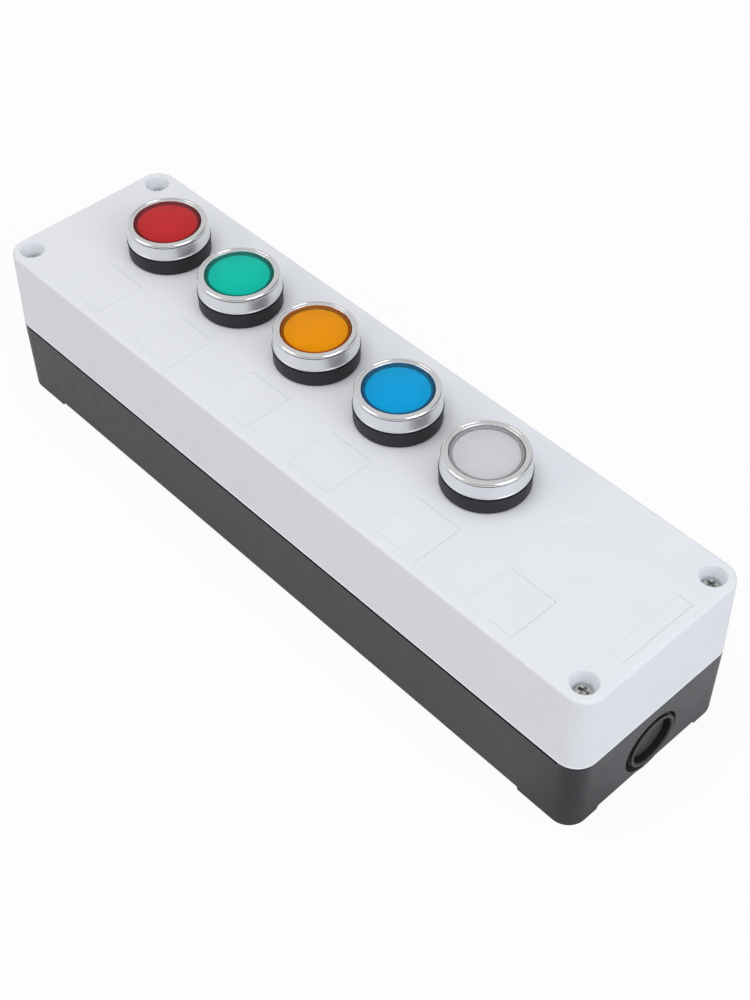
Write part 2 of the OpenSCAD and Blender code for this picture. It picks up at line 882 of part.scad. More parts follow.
module locking_collar() color(black_colour) {
    groove_low = lock_low + bayonet_rise;
    difference() {
        union() {
            translate([0, 0, lock_low])
                rounded_prism(lock_l, lock_w, lock_plate_t, lock_corner_r);
            translate([0, 0, lock_low]) cylinder(r = neck_r + lock_ring_t, h = lock_h);
            translate([lock_screw_x, lock_screw_y, lock_low])
                cylinder(r = lock_boss_r, h = lock_h);
        }
        translate([0, 0, lock_low - cut]) cylinder(r = lock_bore_r, h = lock_h + 2 * cut);
        translate([lock_screw_x, lock_screw_y, lock_low - cut])
            cylinder(d = lock_screw_d + 2 * fit_gap, h = lock_h + 2 * cut);
    }
    for (a = [90, 270])
        rotate([0, 0, a - lug_angle / 2])
            rotate_extrude(angle = lug_angle)
                translate([neck_r - bayonet_depth + clip_gap, groove_low + clip_gap])
                    square([bayonet_depth + root, bayonet_h - 2 * clip_gap]);
}

module slotted_head(r, h) {
    difference() {
        cylinder(r = r, h = h);
        block_at([2 * (r + cut), terminal_slot_w, terminal_slot_depth + cut], [0, 0], -cut);
    }
}

module collar_screws() color(steel_colour) at_every_station()
    translate([lock_screw_x, lock_screw_y, lock_low - lock_head_h]) {
        slotted_head(lock_head_r, lock_head_h);
        translate([0, 0, lock_head_h - root])
            cylinder(d = lock_screw_d, h = -panel_t - lock_low + root);
    }

// Body shared by the blocks: horns up to the collar, hooks over its plate, and a terminal
// pocket at each end, open below for the screwdriver and at the end for the wire
module block_body(strip) {
    end_y = block_l / 2;
    difference() {
        union() {
            block_at([block_w, block_l, block_h], [0, 0], block_low);
            for (side = [-1, 1]) {
                block_at([block_w, end_y - horn_y, lock_low - block_top + root],
                    [0, side * (end_y + horn_y) / 2], block_top - root);
                block_hook(side);
            }
        }
        for (side = [-1, 1]) {
            block_at([pocket_w, end_y - pocket_y + cut, strip - strip_t - block_low + cut],
                [0, side * (end_y + pocket_y + cut) / 2], block_low - cut);
            translate([0, side * terminal_y, strip - cut])
                cylinder(d = terminal_d + 2 * fit_gap, h = terminal_rise + cut + fit_gap);
        }
    }
}

module block_hook(side) {
    out_y = block_l / 2 + clip_gap;
    high = lock_low + lock_plate_t + clip_gap + hook_lip;
    block_at([hook_w, hook_t, high - block_top + hook_root],
        [0, side * (out_y + hook_t / 2)], block_top - hook_root);
    block_at([hook_w, clip_gap + root, hook_root],
        [0, side * (out_y - (clip_gap + root) / 2)], block_top - hook_root);
    block_at([hook_w, hook_t + hook_lip + clip_gap, hook_lip],
        [0, side * (out_y + (hook_t - hook_lip - clip_gap) / 2)], high - hook_lip);
}

// Slot in a block for the two strips at their level
module strip_slots(strip, from_y) {
    for (side = [-1, 1])
        block_at([strip_w, terminal_y + strip_w / 2 - from_y, strip_t],
            [0, side * (terminal_y + strip_w / 2 + from_y) / 2], strip - strip_t);
}

module lamp_block() color(block_colour) difference() {
    union() {
        block_body(strip_top(false));
        translate([0, 0, block_top - root])
            cylinder(r = lamp_tower_r, h = -block_top - lamp_drop - lamp_l + root);
        translate([0, 0, -lamp_drop - lamp_l - root])
            cylinder(r = lamp_r, h = lamp_l - lamp_r + root);
        translate([0, 0, -lamp_drop - lamp_r]) sphere(r = lamp_r);
    }
    strip_slots(strip_top(false), chamber_y);
}

module contact_block(opens) color(block_colour) {
    strip = strip_top(opens);
    translate([-block_pitch, 0, 0]) difference() {
        block_body(strip);
        block_at([block_w - 2 * block_wall, 2 * chamber_y, block_roof - block_low - block_wall],
            [0, 0], block_low + block_wall);
        translate([pin_x + block_pitch, 0, block_roof - cut])
            cylinder(r = pin_r + fit_gap, h = block_top - block_roof + 2 * cut);
        strip_slots(strip, strip_in_y);
    }
}

// Pin that the plunger presses, with the bridge that joins the two fixed strips
module contact_actuator(opens) color(white_colour) {
    top = bridge_top(opens);
    translate([pin_x, 0, top - bridge_t - rivet_l])
        cylinder(r = pin_r, h = tube_low - top + bridge_t + rivet_l);
    block_at([2 * pin_r, bridge_l, bridge_t], [pin_x, 0], top - bridge_t);
}

module strip_pair(strip, from_y) {
    difference() {
        strip_slots(strip, from_y);
        for (side = [-1, 1])
            translate([0, side * terminal_y, strip - strip_t - cut])
                cylinder(d = terminal_d + 2 * fit_gap, h = strip_t + 2 * cut);
    }
}

module terminal_strips() color(brass_colour) {
    for (i = [0:len(STATIONS) - 1]) at_station(i) {
        strip_pair(strip_top(false), chamber_y);
        translate([-block_pitch, 0, 0]) strip_pair(strip_top(STATIONS[i][2]), strip_in_y);
    }
}

module terminal_screw_pair(strip) {
    for (side = [-1, 1])
        translate([0, side * terminal_y, strip - strip_t - terminal_head_h]) {
            slotted_head(terminal_head_r, terminal_head_h);
            cylinder(d = terminal_d, h = terminal_head_h + strip_t + terminal_rise);
        }
}

module terminal_screws() color(steel_colour) {
    for (i = [0:len(STATIONS) - 1]) at_station(i) {
        terminal_screw_pair(strip_top(false));
        translate([-block_pitch, 0, 0]) terminal_screw_pair(strip_top(STATIONS[i][2]));
    }
}

base_box();
cover();
cover_seal();
cover_screws();
screw_inserts();
cable_entry_plug();
head_gaskets();
collar_screws();
terminal_strips();
terminal_screws();
for (i = [0:len(STATIONS) - 1]) {
    s = STATIONS[i];
    at_station(i) lens(s[1]);
    at_station(i) diffuser();
    at_station(i) plunger();
    at_station(i) return_spring();
    at_station(i) bezel();
    at_station(i) head_body();
    at_station(i) locking_collar();
    at_station(i) lamp_block();
    at_station(i) contact_block(s[2]);
    at_station(i) contact_actuator(s[2]);
}
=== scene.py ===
# %% [markdown]
# A push-button control station
#
# The real object is a long two-part plastic box. Its panel carries five round
# illuminated push-buttons, a spare station behind a knock-out, bare label recesses
# and four deep screws, and a rubber plug closes the cable entry in the near end.
# The CAD model gives every size and place. This lesson dresses it: each piece that
# shows is modelled again with smooth surfaces, and every piece gets its finish.

import math

import bmesh
import bpy
from mathutils import Matrix, Vector


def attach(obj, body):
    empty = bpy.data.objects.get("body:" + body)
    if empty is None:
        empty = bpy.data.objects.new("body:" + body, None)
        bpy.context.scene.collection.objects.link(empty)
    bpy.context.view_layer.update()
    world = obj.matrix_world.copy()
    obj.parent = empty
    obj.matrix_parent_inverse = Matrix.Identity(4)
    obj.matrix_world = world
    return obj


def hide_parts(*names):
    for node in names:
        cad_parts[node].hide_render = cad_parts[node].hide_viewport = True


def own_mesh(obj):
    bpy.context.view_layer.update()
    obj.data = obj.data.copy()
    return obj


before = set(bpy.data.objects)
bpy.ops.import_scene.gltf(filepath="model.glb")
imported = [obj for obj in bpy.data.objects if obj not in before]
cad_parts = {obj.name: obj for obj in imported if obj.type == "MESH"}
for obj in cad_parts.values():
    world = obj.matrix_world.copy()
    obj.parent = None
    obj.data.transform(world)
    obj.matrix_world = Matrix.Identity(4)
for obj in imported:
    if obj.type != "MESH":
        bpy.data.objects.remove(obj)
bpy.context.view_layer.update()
MM = 0.001

# %% [markdown]
# Colour management comes first, because it decides how every colour below shows.
# Standard leaves a colour as it is written, where a filmic view would grey the
# white plastic. The camera stands where the photograph's camera stood, which was
# worked out from the corners and rims in the picture: its axes (right, up and back)
# are the rows of the matrix, and its lens follows from the frame's taller side.

# %% Colour and camera
scene = bpy.context.scene
scene.view_settings.view_transform = "Standard"

FRAME_SIZE = (750, 1000)
FOCAL_PIXELS = 1665.96
PICTURE_CENTRE = (376.32, 498.56)
CAMERA_PLACE = (0.295116, -0.258315, 0.436315)
CAMERA_AXES = Matrix(((0.68538759, 0.72815162, -0.0062503),
                      (-0.531135, 0.50577667, 0.67976876),
                      (0.49813598, -0.46258533, 0.73339986)))

camera = bpy.data.objects.new("camera", bpy.data.cameras.new("camera"))
scene.collection.objects.link(camera)
turn = CAMERA_AXES.transposed().to_4x4()
camera.matrix_world = Matrix.Translation(CAMERA_PLACE) @ turn
camera.data.sensor_width = 36
camera.data.lens = FOCAL_PIXELS * camera.data.sensor_width / max(FRAME_SIZE)
camera.data.shift_x = (FRAME_SIZE[0] / 2 - PICTURE_CENTRE[0]) / max(FRAME_SIZE)
camera.data.shift_y = (PICTURE_CENTRE[1] - FRAME_SIZE[1] / 2) / max(FRAME_SIZE)
camera.data.clip_start, camera.data.clip_end = 0.01, 20
scene.camera = camera
print("lens", round(camera.data.lens, 2), "mm")

# %% [markdown]
# Every finish here is a Principled shader with a little life in it: a fine noise
# shifts the colour by a few percent, a second one shifts the roughness, and a bump
# gives the grain of the mould. The noises read Object coordinates, in metres, so a
# grain of half a millimetre has a scale of about 2000. The last helper builds that
# network, and each finish then gives its own numbers. The others add one node each,
# with its links, for the lenses and the studio as well.

# %% Helpers for finishes
MOTTLE_FROM, MOTTLE_TO, ROUGH_SCALE, GRAIN_DEPTH = 0.3, 0.7, 200, 0.00005


def new_material(name):
    """A material, its node tree and the shader that it starts with."""
    material = bpy.data.materials.new(name)
    material.use_nodes = True
    return material, material.node_tree, material.node_tree.nodes["Principled BSDF"]


def add_noise(tree, scale, detail):
    """A noise on Object coordinates, with so many grains to the metre."""
    place = tree.nodes.new("ShaderNodeTexCoord")
    noise = tree.nodes.new("ShaderNodeTexNoise")
    noise.inputs["Scale"].default_value = scale
    noise.inputs["Detail"].default_value = detail
    tree.links.new(place.outputs["Object"], noise.inputs["Vector"])
    return noise.outputs["Fac"]


def add_ramp(tree, source, low, high, colours):
    """Spreads a noise's values between low and high over two colours."""
    ramp = tree.nodes.new("ShaderNodeValToRGB")
    ramp.color_ramp.elements[0].position = low
    ramp.color_ramp.elements[1].position = high
    for element, colour in zip(ramp.color_ramp.elements, colours):
        element.color = (*colour, 1)
    tree.links.new(source, ramp.inputs["Fac"])
    return ramp.outputs["Color"]


def add_range(tree, value, start, end, low=0.0, high=1.0, curve="LINEAR"):
    """Runs from low to high while the value runs from start to end."""
    node = tree.nodes.new("ShaderNodeMapRange")
    node.interpolation_type = curve
    limits = {"From Min": start, "From Max": end, "To Min": low, "To Max": high}
    for name, limit in limits.items():
        node.inputs[name].default_value = limit
    tree.links.new(value, node.inputs["Value"])
    return node.outputs["Result"]


def add_bump(tree, height, strength, depth, shader):
    node = tree.nodes.new("ShaderNodeBump")
    node.inputs["Strength"].default_value = strength
    node.inputs["Distance"].default_value = depth
    tree.links.new(height, node.inputs["Height"])
    tree.links.new(node.outputs["Normal"], shader.inputs["Normal"])


def add_maths(tree, operation, first, second):
    """Joins two values; the second may be a plain number."""
    node = tree.nodes.new("ShaderNodeMath")
    node.operation = operation
    tree.links.new(first, node.inputs[0])
    if isinstance(second, bpy.types.NodeSocket):
        tree.links.new(second, node.inputs[1])
    else:
        node.inputs[1].default_value = second
    return node.outputs["Value"]


def add_mix(tree, share, first, second):
    """Goes from the first shader to the second as the share goes from 0 to 1."""
    node = tree.nodes.new("ShaderNodeMixShader")
    tree.links.new(share, node.inputs["Fac"])
    tree.links.new(first, node.inputs[1])
    tree.links.new(second, node.inputs[2])
    return node.outputs["Shader"]


def make_finish(name, colour, roughness, mottle=0.03, mottle_scale=60, rough_spread=0.06,
                grain=0.1, grain_scale=1800, metallic=0.0, gloss=0.5):
    """A Principled finish with mottled colour, uneven roughness and a grain."""
    finish, tree, shader = new_material(name)
    shader.inputs["Metallic"].default_value = metallic
    shader.inputs["Specular IOR Level"].default_value = gloss
    shades = [[c * (1 + shift) for c in colour] for shift in (-mottle, mottle)]
    mottled = add_ramp(tree, add_noise(tree, mottle_scale, 3), MOTTLE_FROM, MOTTLE_TO,
                       shades)
    tree.links.new(mottled, shader.inputs["Base Color"])
    patches = add_range(tree, add_noise(tree, ROUGH_SCALE, 2), 0, 1,
                        roughness - rough_spread, roughness + rough_spread)
    tree.links.new(patches, shader.inputs["Roughness"])
    add_bump(tree, add_noise(tree, grain_scale, 1), grain, GRAIN_DEPTH, shader)
    print("finish:", name)
    return finish


# %% [markdown]
# The box is moulded in two plastics with a fine spark-eroded grain. The cover is a
# cool light grey that looks nearly white, and the base is a dark neutral grey with a
# soft sheen. White plastic lets a little light through, so its thin lower rim and the
# walls of its deep recesses are painted paler, a painted light that is cheaper than true
# scattering and also paints a bright line along the rim. The heads are a blacker, finer
# plastic, the plug is matt rubber, and what seals the gaps is nearly black; that
# near-black also paints shade into gaps, seats and grooves.

# %% Finishes of the plastics and the rubber
cover_finish = make_finish("cover_plastic", (0.758, 0.77, 0.80), 0.56, mottle=0.012,
                           grain=0.25, grain_scale=2600, gloss=0.35)
# A paler copy of the cover plastic: painted light for the rim and the recess walls.
painted_light_finish = make_finish("cover_plastic_painted_light", (0.86, 0.865, 0.905), 0.56, mottle=0.012,
                          grain=0.25, grain_scale=2600, gloss=0.35)
base_finish = make_finish("base_plastic", (0.055, 0.056, 0.059), 0.42, mottle=0.05,
                          mottle_scale=90, grain=0.45, grain_scale=2300)
head_finish = make_finish("head_plastic", (0.017, 0.017, 0.020), 0.52, mottle=0.08,
                          mottle_scale=300, grain=0.35, grain_scale=3500, gloss=0.36)
block_finish = make_finish("block_plastic", (0.045, 0.048, 0.055), 0.5, mottle=0.06)
pin_finish = make_finish("pin_plastic", (0.8, 0.8, 0.77), 0.45, mottle=0.02)
rubber_finish = make_finish("plug_rubber", (0.046, 0.047, 0.049), 0.5, mottle=0.1,
                            mottle_scale=200, grain=0.4, grain_scale=1500)
# Near-black rubber for the real seals, also used to paint shade in gaps and grooves.
gasket_and_shade_finish = make_finish("gasket_rubber_and_painted_shade", (0.008, 0.008, 0.009), 0.8, mottle=0.1,
                            gloss=0.25)

# %% [markdown]
# The bezels are plated plastic: a satin skirt under a polished crown. Metal has no
# colour of its own beyond its reflection, so a pale metallic tint and the right
# roughness are enough, and the studio's lamps and floor do the rest. Zinc screws,
# brass and spring wire differ in tint and roughness only.

# %% Finishes of the metals
skirt_finish = make_finish("bezel_satin", (0.835, 0.84, 0.855), 0.40, mottle=0.015,
                           mottle_scale=150, rough_spread=0.03, grain=0.05,
                           grain_scale=4000, metallic=1.0)
crown_finish = make_finish("bezel_polished", (0.85, 0.85, 0.85), 0.17, mottle=0.012,
                           mottle_scale=150, rough_spread=0.02, grain=0.008,
                           grain_scale=3000, metallic=1.0)
zinc_finish = make_finish("screw_zinc", (0.60, 0.61, 0.585), 0.2, mottle=0.10,
                          mottle_scale=700, rough_spread=0.05, grain=0.05,
                          grain_scale=2500, metallic=1.0)
brass_finish = make_finish("brass", (0.72, 0.52, 0.22), 0.3, mottle=0.08,
                           mottle_scale=400, metallic=1.0)
wire_finish = make_finish("spring_wire", (0.52, 0.52, 0.50), 0.28, mottle=0.06,
                          mottle_scale=500, metallic=1.0)

# %% [markdown]
# A lens is a clear tinted cap over a white cup. Light enters through the tint, is
# scattered by the white, and comes out through the tint again, so the middle of the
# button glows in its colour. Towards the rim nothing white lies under it, and light
# that runs along the cap's wall comes out there; that light and shade is painted into
# the colour as a rim tint: orange turns red, blue turns navy and white turns paler.
# The tint therefore depends on the distance from the button's axis: Object coordinates
# are moved to that axis, flattened, and their length is read. The white cap is milkier
# than the others and lets less light straight through. Glass would throw caustics that
# need many samples. For rays that come from the lamps the glass is swapped for a plain
# see-through tint, which lights the white cup directly. Such a ray crosses two faces of
# the cap, so each takes a square root.

# %% Finishes of the lenses and the diffusers
STATIONS = ["red", "green", "orange", "blue", "white"]
PITCH, PLACES, ROW_Y = 39.0, 6, 7.5
STATION_X = [(i - (PLACES - 1) / 2) * PITCH for i in range(PLACES)]
SPARE_X = STATION_X[-1]
RIM_START, LENS_R, RIM_BLEND = 10.3, 11.6, (0.1, 0.6)
ACRYLIC_IOR, ACRYLIC_ROUGHNESS = 1.49, 0.13
RIPPLE_SCALE, RIPPLE, RIPPLE_DEPTH = 120, 0.02, 0.0002


def add_axis_distance(tree, x, y, inner, outer, squeeze=1.0):
    """Runs from 0 to 1 between two distances, in millimetres, from an upright axis."""
    place = tree.nodes.new("ShaderNodeTexCoord")
    mapping = tree.nodes.new("ShaderNodeMapping")
    mapping.inputs["Location"].default_value = (-x * MM * squeeze, -y * MM, 0)
    mapping.inputs["Scale"].default_value = (squeeze, 1, 0)
    length = tree.nodes.new("ShaderNodeVectorMath")
    length.operation = "LENGTH"
    tree.links.new(place.outputs["Object"], mapping.inputs["Vector"])
    tree.links.new(mapping.outputs["Vector"], length.inputs[0])
    return add_range(tree, length.outputs["Value"], inner * MM, outer * MM)


def make_lens_finish(name, tint, rim, x, clear):
    """Clear plastic from tint to painted rim tint, letting the share clear through."""
    finish, tree, glass = new_material(name)
    depth = add_axis_distance(tree, x, ROW_Y, RIM_START, LENS_R)
    tree.links.new(add_ramp(tree, depth, *RIM_BLEND, [tint, rim]),
                   glass.inputs["Base Color"])
    glass.inputs["Transmission Weight"].default_value = clear
    glass.inputs["IOR"].default_value = ACRYLIC_IOR
    glass.inputs["Roughness"].default_value = ACRYLIC_ROUGHNESS
    glass.inputs["Specular Tint"].default_value = (0, 0, 0, 1)
    add_bump(tree, add_noise(tree, RIPPLE_SCALE, 1), RIPPLE, RIPPLE_DEPTH, glass)
    see_through = tree.nodes.new("ShaderNodeBsdfTransparent")
    see_through.inputs["Color"].default_value = (*[c ** 0.5 for c in tint], 1)
    rays = tree.nodes.new("ShaderNodeLightPath")
    swapped = add_mix(tree, rays.outputs["Is Shadow Ray"], glass.outputs["BSDF"],
                      see_through.outputs["BSDF"])
    tree.links.new(swapped, tree.nodes["Material Output"].inputs["Surface"])
    return finish


LENS_TINTS = {
    "red": (0.642, 0.078, 0.086),
    "green": (0.0012, 0.632, 0.540),
    "orange": (0.805, 0.460, 0.002),
    "blue": (0.014, 0.505, 0.735),
    "white": (0.692, 0.695, 0.705),
}
# Rim tints: the light and shade of the lens wall, painted into the colour.
PAINTED_RIM_TINTS = {
    "red": (0.50, 0.041, 0.053),
    "green": (0.008, 0.45, 0.38),
    "orange": (0.92, 0.26, 0.003),
    "blue": (0.055, 0.31, 0.60),
    "white": (0.80, 0.80, 0.81),
}
TINTED_CLEAR, WHITE_CLEAR = 0.81, 0.71
lens_finishes = {
    colour: make_lens_finish("lens_" + colour, LENS_TINTS[colour], PAINTED_RIM_TINTS[colour], x,
                             WHITE_CLEAR if colour == "white" else TINTED_CLEAR)
    for colour, x in zip(STATIONS, STATION_X)
}
diffuser_finish = make_finish("diffuser_white", (0.80, 0.80, 0.80), 0.6, mottle=0.01,
                              grain=0.05)
print("lens finishes:", *lens_finishes)

# %% [markdown]
# A few helpers serve all the pieces. The first turns a finished bmesh into an object,
# with smooth faces and a crease wherever two faces meet at more than a set angle. The
# next keeps what a modifier makes of a piece: a Boolean that takes a solid away or
# joins one, or normals that let wide faces shade the narrow ones beside them. One
# gives part of a piece another finish. The last hides the CAD node that the piece
# stands for and hangs the piece on the body it moves with. Verts nearer than TOUCH
# metres become one, and heights nearer than LEVEL count as the same.

# %% Helpers for pieces
CREASE, TOUCH, LEVEL = 32, 1e-7, 1e-6


def crease_edges(shape, angle):
    for face in shape.faces:
        face.smooth = True
    for edge in shape.edges:
        folded = len(edge.link_faces) == 2 and edge.calc_face_angle(0) > math.radians(angle)
        edge.smooth = not folded


def make_object(name, shape, finish, crease=CREASE):
    bmesh.ops.recalc_face_normals(shape, faces=shape.faces)
    crease_edges(shape, crease)
    mesh = bpy.data.meshes.new(name)
    shape.to_mesh(mesh)
    shape.free()
    mesh.materials.append(finish)
    piece = bpy.data.objects.new(name, mesh)
    scene.collection.objects.link(piece)
    return piece


def settle(piece, crease=None):
    """Keeps what the piece's modifiers make of it, and creases its edges again."""
    bpy.context.view_layer.update()
    settled = bpy.data.meshes.new_from_object(
        piece.evaluated_get(bpy.context.evaluated_depsgraph_get()))
    piece.modifiers.clear()
    old, piece.data = piece.data, settled
    bpy.data.meshes.remove(old)
    if crease is not None:
        shape = bmesh.new()
        shape.from_mesh(piece.data)
        bmesh.ops.remove_doubles(shape, verts=shape.verts, dist=TOUCH)
        crease_edges(shape, crease)
        shape.to_mesh(piece.data)
        shape.free()


def carve(piece, tool_shape, operation="DIFFERENCE"):
    """Takes a bmesh solid away from the piece, or joins it with UNION."""
    tool = make_object(piece.name + "_tool", tool_shape, piece.data.materials[0])
    step = piece.modifiers.new("carve", "BOOLEAN")
    step.operation, step.solver, step.object = operation, "EXACT", tool
    settle(piece, CREASE)
    bpy.data.objects.remove(tool)


def even_shading(piece):
    """Lets the wide faces set the shading along their edges."""
    piece.modifiers.new("even_normals", "WEIGHTED_NORMAL").keep_sharp = True
    settle(piece)


def take_shape(piece):
    """Turns an object back into a bmesh, and the object goes."""
    shape = bmesh.new()
    shape.from_mesh(piece.data)
    bpy.data.objects.remove(piece)
    return shape


def repaint(piece, finish, chosen):
    """Gives another finish to the faces that the test chooses, by middle and direction."""
    piece.data.materials.append(finish)
    index = len(piece.data.materials) - 1
    for face in piece.data.polygons:
        if chosen(face.center / MM, face.normal):
            face.material_index = index


def stand_for(piece, node, body="root"):
    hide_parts(node)
    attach(piece, body)
    print(piece.name, "stands for", node, "with", len(piece.data.polygons), "faces")


# %% [markdown]
# The box's two halves are the same kind of form: a block whose upright corners are
# round and whose sides lean a little, so that it leaves its mould. It starts as a
# cube. A bevel rounds the four upright edges, and the lean comes from shrinking each
# corner's far verts towards that corner's own centre, which keeps the walls straight
# and the corners round. The short helpers at the top also serve the shapes below.

# %% A block with round corners and leaning sides
CORNERS, CORNER_STEPS = [(sx, sy) for sx in (-1, 1) for sy in (-1, 1)], 16


def verts_in(geometry):
    return [g for g in geometry if isinstance(g, bmesh.types.BMVert)]


def tilt(shape, angle, axis):
    """Turns a whole shape about an axis of the frame."""
    bmesh.ops.rotate(shape, cent=(0, 0, 0), verts=shape.verts,
                     matrix=Matrix.Rotation(angle, 3, axis))


def round_edges(shape, edges, width, segments):
    """Rounds edges off by a width in millimetres."""
    bmesh.ops.bevel(shape, geom=edges, offset=width * MM, offset_type="OFFSET",
                    segments=segments, profile=0.5, affect="EDGES", material=-1)


def cut_level(shape, level):
    """Cuts a ring of edges into a shape at a level in millimetres."""
    bmesh.ops.bisect_plane(shape, geom=shape.verts[:] + shape.edges[:] + shape.faces[:],
                           plane_co=(0, 0, level * MM), plane_no=(0, 0, 1))


def upright_edges(shape):
    return [e for e in shape.edges
            if abs(e.verts[0].co.z - e.verts[1].co.z) > LEVEL]


def box_shape(size, centre):
    """A box in millimetres, by its size and its middle."""
    shape = bmesh.new()
    bmesh.ops.create_cube(shape, size=1)
    bmesh.ops.scale(shape, vec=[s * MM for s in size], verts=shape.verts)
    bmesh.ops.translate(shape, vec=[c * MM for c in centre], verts=shape.verts)
    return shape


def lean_corners(shape, chosen, length, width, corner, lean):
    """Draws the chosen verts in by lean, corner by corner."""
    share = (corner - lean) / corner
    for sx, sy in CORNERS:
        centre = Vector((sx * (length / 2 - corner) * MM, sy * (width / 2 - corner) * MM, 0))
        verts = [v for v in chosen if v.co.x * sx > 0 and v.co.y * sy > 0]
        bmesh.ops.scale(shape, vec=(share, share, 1), verts=verts,
                        space=Matrix.Translation(-centre))


def round_block(length, width, low, high, corner):
    """A block between two levels with its upright edges rounded."""
    shape = box_shape((length, width, high - low), (0, 0, (low + high) / 2))
    round_edges(shape, upright_edges(shape), corner, CORNER_STEPS)
    return shape


def raise_inside(shape, level_from, level_to, wall):
    """Insets the face at one level by wall and moves the inner face to another."""
    face = max((f for f in shape.faces if abs(f.normal.z) > 0.9
                and abs(f.calc_center_median().z - level_from * MM) < LEVEL),
               key=lambda f: f.calc_area())
    bmesh.ops.inset_region(shape, faces=[face], thickness=wall * MM, depth=0,
                           use_even_offset=True)
    pushed = bmesh.ops.extrude_face_region(shape, geom=[face])
    verts = verts_in(pushed["geom"])
    bmesh.ops.delete(shape, geom=[face], context="FACES_ONLY")
    bmesh.ops.translate(shape, vec=(0, 0, (level_to - level_from) * MM), verts=verts)
    return verts


def rim_edges(shape, level):
    """The edges of the outline at a level, in millimetres."""
    at_level = [e for e in shape.edges
                if all(abs(v.co.z - level * MM) < LEVEL for v in e.verts)]
    return [e for e in at_level
            if any(abs(f.normal.z) < 0.7 for f in e.link_faces)]


# %% [markdown]
# Round things are turned, as on a lathe: a helper takes the section's corners, from
# the inside round to the outside, and spins them about the axis. Each corner may
# name how much of it is rounded off, which a bevel on that ring then does. A section
# that touches the axis stays open there, because the spin closes it at a pole. Most
# holes and posts are plain bars. What comes at several places is turned at each of
# them and merged into one shape.

# %% A lathe
def turned(corners, centre, steps=128, segments=4):
    """Spins (radius, height, rounding) corners, in millimetres, about an upright axis."""
    shape = bmesh.new()
    corners = [(*c, 0) if len(c) == 2 else c for c in corners]
    axis = Vector(centre) * MM
    verts = [shape.verts.new(axis + Vector((r * MM, 0, h * MM))) for r, h, _ in corners]
    pairs = list(zip(verts, verts[1:]))
    if corners[0][0] > 0:
        pairs.append((verts[-1], verts[0]))
    edges = [shape.edges.new(pair) for pair in pairs]
    bmesh.ops.spin(shape, geom=verts + edges, cent=axis, axis=(0, 0, 1),
                   dvec=(0, 0, 0), angle=2 * math.pi, steps=steps, use_merge=True)
    bmesh.ops.remove_doubles(shape, verts=shape.verts, dist=TOUCH)
    for radius, height, rounding in corners:
        if rounding:
            ring = [e for e in shape.edges if all(
                abs((v.co - axis).to_2d().length - radius * MM) < 2 * LEVEL
                and abs(v.co.z - axis.z - height * MM) < 2 * LEVEL for v in e.verts)]
            round_edges(shape, ring, rounding, segments)
    return shape


def merged(shapes):
    """Several bmesh shapes in one."""
    whole = bmesh.new()
    for shape in shapes:
        part = bpy.data.meshes.new("part")
        shape.to_mesh(part)
        shape.free()
        whole.from_mesh(part)
        bpy.data.meshes.remove(part)
    return whole


def bar(radius, low, high, low_rounding=0, high_rounding=0):
    """The section of a plain bar between two heights."""
    return [(0, low), (radius, low, low_rounding), (radius, high, high_rounding), (0, high)]


def turned_at(places, section, steps):
    """The same turned solid at several places of the plan."""
    return merged([turned(section, (x, y, 0), steps) for x, y in places])


# %% [markdown]
# The places that several pieces share are written down once: the levels of split and
# panel, and the screws. OVER is how far a cutting solid reaches past what it opens.

# %% Shared places
BOX_L, BOX_W, PANEL, SPLIT = 278.7, 72.0, 62.2, 30.8
CORNER_R, WALL, PANEL_T = 8.0, 2.6, 3.0
SCREW_INSET, SCREW_SEAT, OVER = 7.9, PANEL - 6.0, 1
SCREWS = [(sx * (BOX_L / 2 - SCREW_INSET), sy * (BOX_W / 2 - SCREW_INSET))
          for sx, sy in CORNERS]
print("cover screws at", SCREWS)

# %% [markdown]
# The cover is a tray turned upside down. Its outside is the leaning block with a
# rounded top edge. A thin rim runs round its lower edge, which stands a tenth of a
# millimetre proud and catches the light as a bright line; the rim is also painted
# paler, so the line is partly painted highlight. Two more blocks are taken away from
# below: a low one for the base's lip, and one that leaves walls and panel.

# %% The cover's shell
COVER_LEAN, COVER_EDGE_R, RIM_H, RIM_PROUD = 0.7, 1.2, 0.35, 0.1
LIP_ROOM_L, LIP_ROOM_W, LIP_ROOM_H, LIP_ROOM_R = 275.6, 68.9, 3.6, 5.9
CLOSE = 0.05


def above(shape, level):
    """The verts at a level or above it."""
    return [v for v in shape.verts if v.co.z > (level - CLOSE) * MM]


shell = round_block(BOX_L, BOX_W, SPLIT, PANEL, CORNER_R)
for level in (SPLIT + RIM_H, SPLIT + RIM_H + RIM_PROUD):
    cut_level(shell, level)
lean_corners(shell, above(shell, SPLIT + RIM_H + RIM_PROUD),
             BOX_L, BOX_W, CORNER_R, RIM_PROUD)
lean_corners(shell, above(shell, PANEL), BOX_L - 2 * RIM_PROUD, BOX_W - 2 * RIM_PROUD,
             CORNER_R - RIM_PROUD, COVER_LEAN - RIM_PROUD)
round_edges(shell, rim_edges(shell, PANEL), COVER_EDGE_R, 6)
cover = make_object("cover_shell", shell, cover_finish)
carve(cover, round_block(LIP_ROOM_L, LIP_ROOM_W, SPLIT - OVER, SPLIT + LIP_ROOM_H,
                         LIP_ROOM_R))
carve(cover, round_block(BOX_L - 2 * WALL, BOX_W - 2 * WALL, SPLIT - OVER, PANEL - PANEL_T,
                         CORNER_R - WALL))
print("cover shell:", len(cover.data.polygons), "faces")

# %% [markdown]
# Four posts hang from the panel round the screws and end just above the base's own
# posts. Joined to the shell, they are then bored: a recess with a soft mouth that
# narrows in one gentle taper to where the screw's head sits, and under it a hole for
# the shank.

